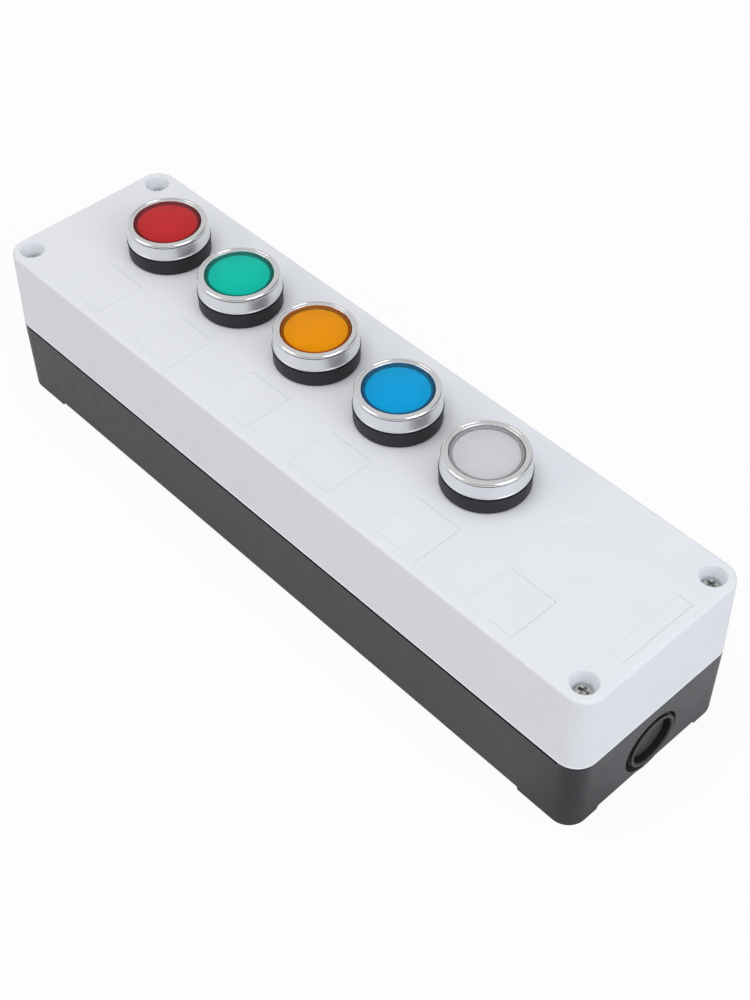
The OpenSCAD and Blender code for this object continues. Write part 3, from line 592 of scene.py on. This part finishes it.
# %% Screw posts and recesses
POST_R, POST_GAP, COLLAR_R, COLLAR_T = 4.0, 0.2, 5.5, 1.6
SHANK_HOLE_R, MOUTH_R, TAPER, TAPER_H = 2.2, 4.55, PANEL - 3.8, 1.2
POST_SECTION = [(0, SPLIT + POST_GAP), (POST_R, SPLIT + POST_GAP),
                (POST_R, SCREW_SEAT - COLLAR_T), (COLLAR_R, SCREW_SEAT - COLLAR_T),
                (COLLAR_R, PANEL - PANEL_T / 2), (0, PANEL - PANEL_T / 2)]
BORE_SECTION = [(0, SPLIT - OVER), (SHANK_HOLE_R, SPLIT - OVER), (SHANK_HOLE_R, SCREW_SEAT),
                (3.3, SCREW_SEAT), (3.4, TAPER - TAPER_H / 2, 0.15),
                (3.75, TAPER + TAPER_H / 2, 0.3), (4.2, PANEL - 0.35, 0.15),
                (MOUTH_R, PANEL), (MOUTH_R, PANEL + OVER), (0, PANEL + OVER)]
carve(cover, turned_at(SCREWS, POST_SECTION, 64), "UNION")
carve(cover, turned_at(SCREWS, BORE_SECTION, 96))
print("cover with recesses:", len(cover.data.polygons), "faces")

# %% [markdown]
# The panel is marked in four ways, all cut in one go: a hole under each head, the
# broad shallow ring that outlines the knock-out of the spare station, six shallow
# recesses for labels and one for a title. A hair-thin groove runs round the floor of
# each recess, a little wider on the side towards the entry, and shows as a faint
# line. The recesses stay bare, as in the photograph.

# %% Panel holes and recesses
LABEL_L, LABEL_W, LABEL_Y = 18.5, 18.8, ROW_Y - 29.55
MARK_DEPTH, GROOVE_DEPTH, GROOVE_W, GROOVE_SHIFT = 0.04, 0.3, 0.075, 0.05
TITLE_W, TITLE_L, TITLE_X, RECESS_R = 5.6, 30.2, BOX_L / 2 - 7.55, 0.25
HEAD_HOLE_R, RING_IN, RING_OUT, RING_SLOPE, RING_DEPTH = 11.2, 9.4, 12.15, 0.16, 0.11
RING_SECTION = [(RING_IN, PANEL), (RING_IN + RING_SLOPE, PANEL - RING_DEPTH),
                (RING_OUT - RING_SLOPE, PANEL - RING_DEPTH), (RING_OUT, PANEL),
                (RING_OUT, PANEL + OVER), (RING_IN, PANEL + OVER)]
HEADS = [(x, ROW_Y) for x in STATION_X[:len(STATIONS)]]


def recess_shape(length, width, x, y):
    """A flat box with a groove round it, which the panel loses."""
    shape = box_shape((length, width, GROOVE_DEPTH + OVER),
                      (x, y, PANEL + (OVER - GROOVE_DEPTH) / 2))
    round_edges(shape, upright_edges(shape), RECESS_R, 3)
    island = raise_inside(shape, PANEL - GROOVE_DEPTH, PANEL - MARK_DEPTH, GROOVE_W)
    bmesh.ops.translate(shape, vec=(-GROOVE_SHIFT * MM, 0, 0), verts=island)
    return shape


marks = [recess_shape(LABEL_L, LABEL_W, x, LABEL_Y) for x in STATION_X]
marks.append(recess_shape(TITLE_W, TITLE_L, TITLE_X, 0))
marks.append(turned_at(HEADS, bar(HEAD_HOLE_R, PANEL - PANEL_T - OVER, PANEL + OVER), 96))
marks.append(turned(RING_SECTION, (SPARE_X, ROW_Y, 0), 128))
carve(cover, merged(marks))
even_shading(cover)


def gets_painted_light(middle, way):
    """On the lower rim, or on the wall of a screw recess, where light is painted paler."""
    on_rim = SPLIT < middle.z < SPLIT + RIM_H + RIM_PROUD
    below_panel = SCREW_SEAT - 0.1 < middle.z < PANEL - 0.4
    return on_rim or below_panel and any(
        (middle.to_2d() - Vector(place)).length < MOUTH_R - CLOSE for place in SCREWS)


# Painted light: the lower rim and the screw-recess walls take the paler plastic.
repaint(cover, painted_light_finish, gets_painted_light)
stand_for(cover, "cover")

# %% [markdown]
# The base is the same kind of tray, the right way up. Its sides lean towards the
# floor, its lower edge is rounded, and a thin lip stands up inside its rim, which
# the cover's step takes. Here the inside comes from insetting the top face twice: the
# first inner face is pulled up to the top of the lip, the second pushed down to the
# floor. Along each long side the rim is stepped back a little, and the gap, with painted
# shade in near-black, shows as the black line under the cover.

# %% The base's shell
BASE_L, BASE_W, BASE_R = BOX_L - 0.5, BOX_W - 0.5, 7.2
BASE_LEAN, BASE_EDGE_R, FLOOR_TOP, SHADE_BAND_H = 0.3, 0.3, 4.25, 0.55
LIP_INSET, LIP_T, LIP_H = 1.4, 1.2, 2.6
tray = round_block(BASE_L, BASE_W, 0, SPLIT, BASE_R)
cut_level(tray, SPLIT - SHADE_BAND_H)
lean_corners(tray, [v for v in tray.verts if v.co.z < CLOSE * MM],
             BASE_L, BASE_W, BASE_R, BASE_LEAN)
round_edges(tray, rim_edges(tray, 0), BASE_EDGE_R, 4)
raise_inside(tray, SPLIT, SPLIT + LIP_H, LIP_INSET)
raise_inside(tray, SPLIT + LIP_H, FLOOR_TOP, LIP_T)
base = make_object("base_tray", tray, base_finish)
print("base shell:", len(base.data.polygons), "faces")

# %% [markdown]
# Between its four feet the base stands clear of the wall it is screwed to. The space
# is cut by two long bars, one along the box and one across it. Each end of a bar
# swells out at the bottom and is round at the top, so that the foot runs down in a
# soft step as a moulding does. Half the bar's outline is drawn by spinning a single
# vertex twice, and a mirror, a fill and an extrusion do the rest.

# %% Clearance between the feet
FOOT_L, FOOT_W, FOOT_H = 22, 13.2, 1.65


def foot_gap(half_span, depth):
    """A bar under the floor, along X, with an S-shaped rise at each end."""
    r, side = FOOT_H / 2, -depth / 2
    shape = bmesh.new()
    start = shape.verts.new(Vector((half_span + r, side, 0)) * MM)
    shape.edges.new((shape.verts.new(start.co - Vector((0, 0, 2 * MM))), start))
    last = [start]
    for centre_x, way in ((half_span + r, 1), (half_span - r, -1)):
        drawn = bmesh.ops.spin(shape, geom=last, cent=Vector((centre_x, side, r)) * MM,
                               axis=(0, 1, 0), angle=way * math.pi / 2, steps=6)
        last = verts_in(drawn["geom_last"])
    bmesh.ops.remove_doubles(shape, verts=shape.verts, dist=TOUCH)
    bmesh.ops.mirror(shape, geom=shape.verts[:] + shape.edges[:], axis="X", merge_dist=0)
    for level in (max, min):
        height = level(v.co.z for v in shape.verts)
        shape.edges.new([v for v in shape.verts
                         if abs(v.co.z - height) < TOUCH and len(v.link_edges) == 1])
    bmesh.ops.edgeloop_fill(shape, edges=shape.edges[:])
    pulled = bmesh.ops.extrude_face_region(shape, geom=shape.faces[:])
    bmesh.ops.translate(shape, vec=(0, depth * MM, 0), verts=verts_in(pulled["geom"]))
    return shape


carve(base, foot_gap(BOX_L / 2 - FOOT_L, BOX_W))
across = foot_gap(BOX_W / 2 - FOOT_W, BOX_L)
tilt(across, math.pi / 2, "Z")
carve(base, across)
print("base with feet:", len(base.data.polygons), "faces")

# %% [markdown]
# Each end has a round boss for a cable gland. It is a cylinder that reaches down to
# the level of the soles, so its lower side shows below the raised floor, and under
# the floor it runs on as a trough. Bosses round the fixing holes and posts for the
# cover's screws are joined to the tray in the same way.

# %% Bosses and posts
ENTRY_H, BOSS_R, BOSS_SUNK, BOSS_END, TROUGH_END = 13.0, 12.9, 0.3, 7, 14
ENTRY_FACE = BASE_L / 2 - BASE_LEAN * (SPLIT - ENTRY_H) / SPLIT
FIXINGS = [(sx * 121.5, sy * 28.0) for sx, sy in CORNERS]
FIXING_BOSS_R, FIXING_BOSS_H, BASE_POST_R, ROOT = 4.2, 1.5, 4.6, 0.5
UNDER_FLOOR, FLOOR_GAP = (BOX_L, 30, 20), 0.02
FIXING_SECTION = bar(FIXING_BOSS_R, FLOOR_TOP - ROOT, FLOOR_TOP + FIXING_BOSS_H, 0, 0.3)


def along_entry(shape, side):
    """Turns an upright solid so that its height runs into the box from an end face."""
    tilt(shape, -side * math.pi / 2, "Y")
    bmesh.ops.translate(shape, verts=shape.verts,
                        vec=Vector((side * ENTRY_FACE, 0, ENTRY_H)) * MM)
    return shape


def entry_solid(section, side, steps=96):
    """A turned solid on the axis of a cable entry, its heights counted inwards."""
    return along_entry(turned(section, (0, 0, 0), steps), side)


for side in (-1, 1):
    carve(base, entry_solid(bar(BOSS_R, BOSS_SUNK, BOSS_END, 0.2), side, 128), "UNION")
    trough = make_object("trough", entry_solid(bar(BOSS_R, ROOT, TROUGH_END), side),
                         base_finish)
    carve(trough, box_shape(UNDER_FLOOR, (0, 0, FLOOR_TOP - UNDER_FLOOR[2] / 2 - FLOOR_GAP)),
          "INTERSECT")
    carve(base, take_shape(trough), "UNION")
carve(base, turned_at(FIXINGS, FIXING_SECTION, 48), "UNION")
carve(base, turned_at(SCREWS, bar(BASE_POST_R, FLOOR_TOP - ROOT, SPLIT), 64), "UNION")
print("base with bosses:", len(base.data.polygons), "faces")

# %% [markdown]
# The last cuts in the base: the seat for a gland's flange in each boss, the hole
# behind it (right through at the near end, stopped by a thin web at the far end),
# the four fixing holes, the bores of the screw posts and the step along each long
# rim. The step and the upper edge under the cover get painted shade in near-black,
# and so does the bottom of the near seat, except for the corner of it that light
# reaches.

# %% Holes in the base
SEAT_R, SEAT_DEPTH, ENTRY_R, ENTRY_END, WEB = 11.5, 1.6, 9.5, 8, 2.4
TROUGH_R, TROUGH_BORE_END, FIXING_R, INSERT_R = 11.7, 12.8, 2.25, 2.8
STEP_H, STEP_W, STEP_TOOL, SKIN, LIT_FROM = 1.5, 0.4, 2, 0.01, 1.5
SEAT_SECTION = [(0, -OVER), (12.6, -OVER), (SEAT_R, 0.1, 0.1), (SEAT_R, SEAT_DEPTH),
                (0, SEAT_DEPTH)]
INSERT_SECTION = [(0, SPLIT - 12), (SHANK_HOLE_R, SPLIT - 12), (SHANK_HOLE_R, SPLIT - 8),
                  (INSERT_R, SPLIT - 8), (INSERT_R, SPLIT + OVER), (0, SPLIT + OVER)]
for side in (-1, 1):
    carve(base, entry_solid(SEAT_SECTION, side, 128))
    carve(base, entry_solid(bar(ENTRY_R, -OVER if side > 0 else WEB, ENTRY_END), side))
    carve(base, entry_solid(bar(TROUGH_R, BOSS_END, TROUGH_BORE_END), side))
carve(base, merged([turned_at(FIXINGS, bar(FIXING_R, -2, FLOOR_TOP + 3), 48),
                    turned_at(SCREWS, INSERT_SECTION, 48)]))
carve(base, merged([
    box_shape((BOX_L - 2 * CORNER_R, STEP_TOOL, STEP_H),
              (0, side * (BASE_W / 2 + STEP_TOOL / 2 - STEP_W), SPLIT - STEP_H / 2 + SKIN))
    for side in (-1, 1)]))
even_shading(base)


def gets_painted_shade(middle, way):
    """Painted shade under the cover's edge, on the step, or in the unlit part of the near
    seat.
    """
    under_cover = SPLIT - SHADE_BAND_H < middle.z < SPLIT - SKIN
    on_step = (SPLIT - STEP_H - SKIN < middle.z < SPLIT - SKIN
               and BASE_W / 2 - STEP_W - 0.1 < abs(middle.y) < BASE_W / 2 - 2 * SKIN)
    in_seat = way.x > 0.9 and abs(ENTRY_FACE - SEAT_DEPTH - middle.x) < CLOSE
    unlit = middle.y < LIT_FROM or middle.z > ENTRY_H + LIT_FROM
    return under_cover or on_step or in_seat and unlit


# Painted shade in near-black: the band under the cover, the step and the unlit seat floor.
repaint(base, gasket_and_shade_finish, gets_painted_shade)
stand_for(base, "base_box")

# %% [markdown]
# The rubber plug in the near entry is moulded in one: two thin lips in the seat and a
# sunk floor whose steep wall no light reaches, so that wall gets painted shade in
# near-black. It is turned upright, with its heights measured back from its face, and
# then laid along the entry, where it sits a little proud and to one side, as it was
# pressed in by hand.

# %% The cable entry plug
PLUG_SECTION = [(0, 2.4), (7.9, 2.4, 0.35), (7.9, 3.1), (8.3, 3.1), (8.65, 0.5),
                (8.9, 0, 0.1), (9.9, 0, 0.2), (9.9, 0.45, 0.1), (9.0, 0.45),
                (9.0, 1.35), (10.1, 1.35), (10.1, 1.8), (8.9, 1.8), (8.9, 7.4),
                (9.6, 7.4), (8.9, 8.6), (8.0, 8.6), (8.0, 4.3), (0, 4.3)]
PLUG_PROUD, PLUG_SHIFT = 0.4, 0.6
PLUG_WALL_IN, PLUG_WALL_OUT, PLUG_WALL_END = 7.95, 8.75, 3.2


def plug_wall_in_painted_shade(middle, way):
    radius = math.hypot(middle.y - PLUG_SHIFT, middle.z - ENTRY_H)
    return (PLUG_WALL_IN < radius < PLUG_WALL_OUT
            and -0.1 < ENTRY_FACE - middle.x < PLUG_WALL_END)


plug = make_object("entry_plug", along_entry(
    turned(PLUG_SECTION, (0, PLUG_SHIFT, -PLUG_PROUD)), 1), rubber_finish)
# Painted shade: the plug's steep inner wall takes the near-black.
repaint(plug, gasket_and_shade_finish, plug_wall_in_painted_shade)
stand_for(plug, "cable_entry_plug")

# %% [markdown]
# The cover's four screws are zinc-plated pan heads. The head is turned with a domed
# edge, and a cross is cut into it by two blades that narrow downwards, as the tip of
# a screwdriver does. Each screw stopped at its own angle, so each cross is turned
# differently.

# %% The cover screws
SCREW_HEAD_R, SCREW_HEAD_H, THREAD_R, SCREW_L = 2.8, 2.0, 1.95, 35
SCREW_SECTION = [(0, -SCREW_L), (1.6, 0.5 - SCREW_L), (THREAD_R, 3 - SCREW_L), (THREAD_R, 0),
                 (SCREW_HEAD_R, 0, 0.12), (SCREW_HEAD_R, 1.3, 0.4), (2.2, SCREW_HEAD_H, 0.4),
                 (0, SCREW_HEAD_H)]
BLADE_SIZE, BLADE_LOW, BLADE_TIP = (4.2, 1.2, 2.0), 0.5, (0.45, 0.7, 1)
SCREW_TURNS = [70, 15, 8, 80]


def blade_shape(angle):
    """A wedge across the head, wide at its mouth."""
    middle = BLADE_LOW + BLADE_SIZE[2] / 2
    shape = box_shape(BLADE_SIZE, (0, 0, middle))
    low = [v for v in shape.verts if v.co.z < middle * MM]
    bmesh.ops.scale(shape, vec=BLADE_TIP, verts=low)
    tilt(shape, angle, "Z")
    return shape


screw_shapes = []
for (x, y), turned_by in zip(SCREWS, SCREW_TURNS):
    screw = make_object("screw", turned(SCREW_SECTION, (0, 0, 0), 64), zinc_finish)
    for angle in (turned_by, turned_by + 90):
        carve(screw, blade_shape(math.radians(angle)))
    shape = take_shape(screw)
    bmesh.ops.translate(shape, vec=Vector((x, y, SCREW_SEAT)) * MM, verts=shape.verts)
    screw_shapes.append(shape)
screws = make_object("cover_screw_set", merged(screw_shapes), zinc_finish)
stand_for(screws, "cover_screws")

# %% [markdown]
# A push-button head is built up from turned pieces. The black body clamps on the
# panel and goes through it as a neck with a groove for its locking collar. The bezel
# clips into the body: its section is a spigot, a skirt with a fine ledge, a fine groove
# at the crease that gets painted shade in near-black, a rounded crown and a flat inner
# ring. The lens is a cap with a thin wall, and the diffuser is a cup inside it. Those
# two move with the button, the others stay.

# %% Sections of a head, measured from the panel
BODY_SECTION = [(9.9, 1.6), (9.9, -13.4), (8.2, -13.4), (8.2, -14.6), (11.0, -14.6, 0.3),
                (11.0, -12.2), (10.5, -12.2), (10.5, -10.0), (11.0, -10.0), (11.0, 0),
                (12.1, 0), (12.1, 0.8), (13.6, 0.8), (13.6, 0), (14.2, 0), (14.2, 0.4),
                (14.6, 0.5, 0.08), (14.6, 5.35), (14.78, 5.5, 0.06), (14.78, 5.85, 0.06),
                (14.2, 5.9), (14.2, 6.3), (13.1, 6.3), (13.1, 1.6)]
BEZEL_SECTION = [(12.05, 2.45), (13.0, 2.45), (13.0, 6.45), (14.55, 6.45, 0.1),
                 (14.55, 6.8, 0.08), (14.42, 6.95, 0.05), (14.03, 11.2, 0.05),
                 (13.77, 11.28), (13.77, 11.58), (14.15, 11.66, 0.05), (14.15, 12.7, 0.96),
                 (12.87, 12.7, 0.24), (12.87, 12.42), (12.05, 12.36, 0.12),
                 (11.9, 12.2), (11.9, 6.65), (12.05, 6.45)]
GROOVE_LOW, GROOVE_HIGH, GROOVE_R = 11.22, 11.64, 14
LENS_SECTION = [(0, 11.1), (10.55, 11.1, 0.15), (10.55, 6.3), (LENS_R, 6.3, 0.1),
                (LENS_R, 12.0, 0.35), (0, 12.0)]
DIFFUSER_SECTION = [(0, 9.85), (9.45, 9.85), (9.45, 7.5), (10.45, 7.5), (10.45, 11.05, 0.1),
                    (0, 11.05)]

# %% [markdown]
# The return spring is wound by a spin that climbs: a small circle goes round the axis
# and up at each step. Three windings follow each other, a close turn, four open ones
# and a close turn. The spring stays with the box when the button is pressed, wound at
# its full length.

# %% A return spring
WIRE_R, COIL_R, COIL_LOW, COIL_HIGH, TRAVEL = 0.4, 9.075, -13.4, 6.3, 4.3
END_RISE, OPEN_TURNS, TURN_STEPS = 1.25, 4, 24


def spring_shape(centre):
    shape = bmesh.new()
    axis = Vector(centre) * MM
    ring = bmesh.ops.create_circle(shape, radius=WIRE_R * MM, segments=8)["verts"]
    tilt(shape, math.pi / 2, "X")
    bmesh.ops.translate(shape, verts=ring,
                        vec=axis + Vector((COIL_R, 0, COIL_LOW + WIRE_R)) * MM)
    drawn = ring + list({e for v in ring for e in v.link_edges})
    rise = COIL_HIGH - COIL_LOW - 2 * WIRE_R - 2 * END_RISE
    for turns, height in ((1, END_RISE), (OPEN_TURNS, rise), (1, END_RISE)):
        steps = turns * TURN_STEPS
        wound = bmesh.ops.spin(shape, geom=drawn, cent=axis, axis=(0, 0, 1),
                               dvec=(0, 0, height * MM / steps),
                               angle=2 * math.pi * turns, steps=steps)
        drawn = wound["geom_last"]
    bmesh.ops.remove_doubles(shape, verts=shape.verts, dist=TOUCH)
    open_edges = [e for e in shape.edges if len(e.link_faces) == 1]
    bmesh.ops.edgeloop_fill(shape, edges=open_edges)
    return shape


# %% [markdown]
# The five heads differ in the colour of their lens only, so one loop makes them. The
# bezel starts as satin, then its crown is polished and its groove gets painted shade in
# near-black. Lens and diffuser ride on the body of their button, and the spring stays
# with the box and gets a mesh of its own.

# %% The five heads
for colour, x in zip(STATIONS, STATION_X):
    centre, button = (x, ROW_Y, PANEL), colour + "_button"
    head = make_object(colour + "_body", turned(BODY_SECTION, centre, 128, 3), head_finish)
    stand_for(head, colour + "_head_body")
    bezel = make_object(colour + "_ring", turned(BEZEL_SECTION, centre, 160, 10),
                        skirt_finish, 25)
    repaint(bezel, crown_finish, lambda middle, way: middle.z > PANEL + GROOVE_HIGH)
    # Painted shade: the crease groove's faces take the near-black.
    repaint(bezel, gasket_and_shade_finish, lambda middle, way:
            PANEL + GROOVE_LOW < middle.z < PANEL + GROOVE_HIGH
            and math.hypot(middle.x - x, middle.y - ROW_Y) < GROOVE_R)
    stand_for(bezel, colour + "_bezel")
    lens = make_object(colour + "_cap", turned(LENS_SECTION, centre, 128, 5),
                       lens_finishes[colour])
    stand_for(lens, colour + "_lens", button)
    diffuser = make_object(colour + "_cup", turned(DIFFUSER_SECTION, centre, 96, 3),
                           diffuser_finish)
    stand_for(diffuser, colour + "_diffuser", button)
    coil = make_object(colour + "_coil", spring_shape(centre), wire_finish)
    stand_for(coil, colour + "_return_spring")
    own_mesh(coil)

# %% [markdown]
# The pieces that stay inside the box keep their CAD shape and only get a finish.

# %% Finishes of the inner pieces
INNER_FINISHES = {
    "plunger": head_finish, "locking_collar": head_finish,
    "lamp_block": block_finish, "contact_block": block_finish,
    "contact_actuator": pin_finish, "cover_seal": gasket_and_shade_finish,
    "head_gaskets": gasket_and_shade_finish, "screw_inserts": brass_finish,
    "collar_screws": zinc_finish, "terminal_strips": brass_finish,
    "terminal_screws": zinc_finish,
}
for node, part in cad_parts.items():
    for ending, finish in INNER_FINISHES.items():
        if node.endswith(ending):
            for slot in part.material_slots:
                slot.material = finish
print("inner pieces:", sum(n.endswith(tuple(INNER_FINISHES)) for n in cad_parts))

# %% [markdown]
# The stage is a pale floor under a soft studio. The floor takes the object's shadow,
# and for the camera it is lifted to white, as the photograph's background is. Glossy
# rays find two dark places painted on it, painted reflections that only glossy rays
# see: a strong one in front of the near corner, which draws a soft dark band on that
# corner, and a weaker, longer one beside the long side. Where the two meet, the deeper
# counts. Each row of the table gives a place's middle, where its fading starts and
# stops, the squeeze that makes it long, and its depth.

# %% Floor
FLOOR_HALF, CAMERA_LIFT = 0.6, 0.92
PAPER_GREY, DARK_GREY = (0.82, 0.82, 0.82, 1), (0.04, 0.04, 0.04, 1)
# Painted dark reflections: dark floor patches seen only by glossy rays.
DARK_PLACES = [(155, -58, 22, 52, 1.0, 1.0), (20, -130, 70, 130, 0.3, 0.4)]
floor_shape = bmesh.new()
bmesh.ops.create_grid(floor_shape, x_segments=1, y_segments=1, size=FLOOR_HALF)
floor_paper, tree, paper = new_material("floor_paper")
paper.inputs["Base Color"].default_value = PAPER_GREY
paper.inputs["Roughness"].default_value = 0.9
paper.inputs["Specular IOR Level"].default_value = 0.1
lift = tree.nodes.new("ShaderNodeEmission")
dark = tree.nodes.new("ShaderNodeBsdfDiffuse")
dark.inputs["Color"].default_value = DARK_GREY
depths = [add_range(tree, add_axis_distance(tree, *place), 0, 1, depth, 0)
          for *place, depth in DARK_PLACES]
rays = tree.nodes.new("ShaderNodeLightPath")
lifted = add_maths(tree, "MULTIPLY", rays.outputs["Is Camera Ray"], CAMERA_LIFT)
darkened = add_maths(tree, "MULTIPLY", rays.outputs["Is Glossy Ray"],
                     add_maths(tree, "MAXIMUM", *depths))
seen = add_mix(tree, lifted, paper.outputs["BSDF"], lift.outputs["Emission"])
mirrored = add_mix(tree, darkened, seen, dark.outputs["BSDF"])
tree.links.new(mirrored, tree.nodes["Material Output"].inputs["Surface"])
floor = make_object("floor", floor_shape, floor_paper)
print("floor faces up:", floor.data.polygons[0].normal.z > 0)

# %% [markdown]
# The world gives the soft fill. Where the camera or glass looks at it, it is white.
# Metal sees a bright tent with two darker places in it, a long low gap where the
# camera stands and an opening at the far right, which draw the dark stretches on a
# plated ring. Each place is a direction: the nearer a ray points to it, the darker. A
# place becomes low and wide when the rays' heights are stretched before that test.

# %% World
FILL_COLOUR, FILL_POWER = (0.965, 0.97, 1), 0.48
MIRROR_COLOUR, WHITE = (0.66, 0.665, 0.67), (1, 1, 1)
world = bpy.data.worlds.new("studio")
scene.world = world
world.use_nodes = True
tree = world.node_tree
tree.nodes.clear()
place = tree.nodes.new("ShaderNodeTexCoord")


def add_dark_place(tree, towards, stretch, core, edge, depth):
    """One over a whole turn, and less by depth within core degrees of a direction."""
    tall = tree.nodes.new("ShaderNodeVectorMath")
    tall.operation = "MULTIPLY"
    tall.inputs[1].default_value = (1, 1, stretch)
    unit = tree.nodes.new("ShaderNodeVectorMath")
    unit.operation = "NORMALIZE"
    near = tree.nodes.new("ShaderNodeVectorMath")
    near.operation = "DOT_PRODUCT"
    aim = Vector(towards)
    near.inputs[1].default_value = Vector((aim.x, aim.y, aim.z * stretch)).normalized()
    tree.links.new(place.outputs["Generated"], tall.inputs[0])
    tree.links.new(tall.outputs["Vector"], unit.inputs[0])
    tree.links.new(unit.outputs["Vector"], near.inputs[0])
    return add_range(tree, near.outputs["Value"], math.cos(math.radians(edge)),
                     math.cos(math.radians(core)), 1, 1 - depth, "SMOOTHSTEP")


def add_backdrop(colour, strength=1.0):
    node = tree.nodes.new("ShaderNodeBackground")
    node.inputs["Color"].default_value = (*colour, 1)
    node.inputs["Strength"].default_value = strength
    return node


gap = add_dark_place(tree, (0.68, -0.73, 0.05), stretch=2.5, core=20, edge=50, depth=0.7)
opening = add_dark_place(tree, (0.40, 0.84, 0.36), stretch=1, core=10, edge=32, depth=0.6)
fill = add_backdrop(FILL_COLOUR, FILL_POWER)
mirror, white = add_backdrop(MIRROR_COLOUR), add_backdrop(WHITE)
tree.links.new(add_maths(tree, "MULTIPLY", gap, opening), mirror.inputs["Strength"])
rays = tree.nodes.new("ShaderNodeLightPath")
looked_at = add_maths(tree, "MAXIMUM", rays.outputs["Is Camera Ray"],
                      rays.outputs["Is Transmission Ray"])
around = add_mix(tree, rays.outputs["Is Glossy Ray"], fill.outputs["Background"],
                 mirror.outputs["Background"])
out = tree.nodes.new("ShaderNodeOutputWorld")
tree.links.new(add_mix(tree, looked_at, around, white.outputs["Background"]),
               out.inputs["Surface"])
print("studio:", len(tree.nodes), "nodes")

# %% [markdown]
# Four soft boxes light the object. The two low ones stand left and right of the
# camera, and the crowns of the bezels mirror them as two bright arcs. The left one is
# a little warm and the right one a little cool. The third hangs overhead, a little to
# the left, and gives most of the panel's light. The fourth is a weak one over the
# camera, which reaches into the recesses. Metal doesn't mirror these two, so that the
# crowns keep their dark stretches.

# %% Lamps
AIM_H = 0.04


def soft_box(name, direction, distance, size, power, colour=WHITE):
    """A lamp that far off in a direction, turned to the middle of the object."""
    lamp = bpy.data.lights.new(name, "AREA")
    lamp.shape, lamp.size, lamp.size_y = "RECTANGLE", size[0], size[1]
    lamp.energy, lamp.color = power, colour
    holder = bpy.data.objects.new(name, lamp)
    scene.collection.objects.link(holder)
    aim = Vector(direction).normalized()
    holder.location = aim * distance + Vector((0, 0, AIM_H))
    holder.rotation_mode = "QUATERNION"
    holder.rotation_quaternion = aim.to_track_quat("Z", "Y")
    return holder


soft_box("left_box", (-0.40, -0.78, 0.48), 1.5, (0.9, 0.65), 3.1, (1.0, 0.97, 0.94))
soft_box("right_box", (0.88, 0.02, 0.50), 1.5, (1.0, 0.9), 7.4, (0.91, 0.95, 1.0))
top_box = soft_box("top_box", (-0.06, -0.14, 1.0), 1.6, (1.0, 1.0), 9.4,
                   (0.985, 0.985, 1.0))
front_box = soft_box("front_box", (0.56, -0.58, 0.6), 1.5, (1.2, 0.8), 1.6)
for lamp in (top_box, front_box):
    lamp.visible_glossy = False
print("lamps:", len(bpy.data.lights))
